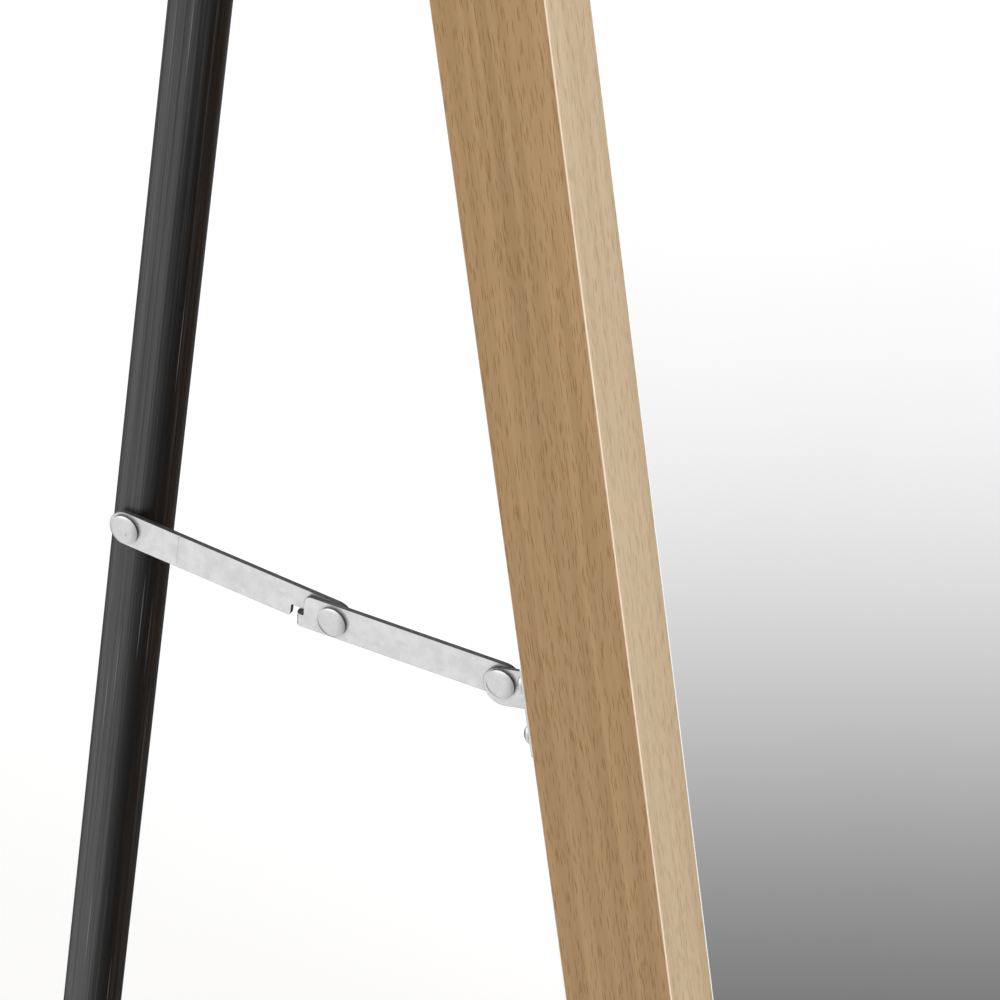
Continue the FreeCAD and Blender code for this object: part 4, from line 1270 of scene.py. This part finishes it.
# Reflections: the sweep falls from top to low about middle, and a panel stands on one side.
SWEEP_DOWN = (-0.4387, -0.0070, -0.8986)
SWEEP_TOP, SWEEP_LOW = 1.10, 0.06
SWEEP_MIDDLE, SWEEP_SOFTNESS = 0.0385, 0.0325
PANEL_ALONG = (-0.482, 0.876, 0.0)
PANEL_ACROSS = (0.876, 0.482, 0.0)
PANEL_LIGHT = 1.05


def studio_floor(tree):
    """Pale matt floor, lit a little from within so that it stays white."""
    place = tree.row()
    cloud = tree.noise(place, (0.8, 0.8, 0.8), 2.0)
    tree.surface({
        "Base Color": tree.mix(cloud, grey(0.88), grey(0.90)),
        "Roughness": 0.9,
        "Specular IOR Level": 0.1,
        "Emission Color": grey(1.0),
        "Emission Strength": FLOOR_GLOW,
    })


def build_floor():
    bm = bmesh.new()
    bmesh.ops.create_grid(bm, x_segments=2, y_segments=2, size=FLOOR_SIZE / 2)
    mesh = bpy.data.meshes.new("studio_floor")
    bm.to_mesh(mesh)
    bm.free()
    mesh.materials.append(material("studio_floor", studio_floor))
    floor = bpy.data.objects.new("studio_floor", mesh)
    bpy.context.scene.collection.objects.link(floor)
    floor.visible_glossy = False


def build_world():
    """White surroundings; reflections see soft light panels that fall off to grey."""
    world = bpy.data.worlds.new("studio")
    bpy.context.scene.world = world
    world.use_nodes = True
    world.cycles.sampling_method = "NONE"
    tree = Tree(world.node_tree)
    ray = tree.add("TexCoord", None, None, "Generated")

    def toward(direction):
        unit = Vector(direction).normalized()
        return tree.add("VectorMath", {"operation": "DOT_PRODUCT"}, {0: ray, 1: unit}, "Value")

    down = toward(SWEEP_DOWN)
    fade = tree.maths("DIVIDE", tree.maths("SUBTRACT", down, SWEEP_MIDDLE), SWEEP_SOFTNESS)
    fade = tree.maths("ADD", tree.maths("EXPONENT", fade), 1.0)
    sweep = tree.maths("DIVIDE", SWEEP_TOP - SWEEP_LOW, fade)
    sweep = tree.maths("ADD", sweep, SWEEP_LOW)
    along = tree.step(toward(PANEL_ALONG), -0.45, 0.45)
    panel = tree.maths("MULTIPLY", along, tree.step(toward(PANEL_ACROSS), 0.72, 0.25))
    reflected = tree.maths("MULTIPLY_ADD", panel, PANEL_LIGHT, sweep)
    glossy = tree.add("LightPath", None, None, "Is Glossy Ray")
    camera = tree.add("LightPath", None, None, "Is Camera Ray")
    shade = tree.mix(glossy, grey(WORLD_GREY), reflected)
    shade = tree.mix(camera, shade, grey(1.0))
    background = tree.add("Background", None, {"Color": shade, "Strength": 1.0})
    tree.add("OutputWorld", None, {"Surface": background})


def softbox(name, place, aim, size, power):
    """Rectangular lamp in metres and watts, kept out of reflections."""
    lamp = bpy.data.lights.new(name, "AREA")
    lamp.shape = "RECTANGLE"
    lamp.size, lamp.size_y = size
    lamp.energy = power
    made = bpy.data.objects.new(name, lamp)
    bpy.context.scene.collection.objects.link(made)
    made.location = place
    made.rotation_euler = (Vector(aim) - Vector(place)).to_track_quat("-Z", "Y").to_euler()
    made.visible_glossy = False
    made.visible_camera = False


def build_lights():
    softbox("key_front", (-1.2, -3.2, 3.0), aim=(0, 0, 0.8), size=(2.4, 1.8), power=70)
    softbox("fill_left", (-1.6, 0.55, 2.1), aim=(0, 0.1, 1.5), size=(1.1, 1.1), power=12)


def build_camera():
    camera = bpy.data.cameras.new("camera")
    camera.lens = CAMERA_LENS
    camera.sensor_width = CAMERA_SENSOR
    camera.clip_start, camera.clip_end = CAMERA_CLIP
    made = bpy.data.objects.new("camera", camera)
    bpy.context.scene.collection.objects.link(made)
    azimuth, elevation = math.radians(CAMERA_AZIMUTH), math.radians(CAMERA_ELEVATION)
    back = Vector((
        math.sin(azimuth) * math.cos(elevation),
        -math.cos(azimuth) * math.cos(elevation),
        math.sin(elevation),
    ))
    made.location = (side_face * MM - CAMERA_BESIDE, CAMERA_DEPTH, CAMERA_HEIGHT)
    made.rotation_euler = (-back).to_track_quat("-Z", "Y").to_euler()
    bpy.context.scene.camera = made


build_frame()
build_glass()
build_feet()
build_hinges()
build_stay_brackets()
build_tube()
build_tube_ends()
build_stays()
paint_cad_nodes()
build_floor()
build_world()
build_lights()
build_camera()
bpy.context.scene.view_settings.view_transform = "Standard"
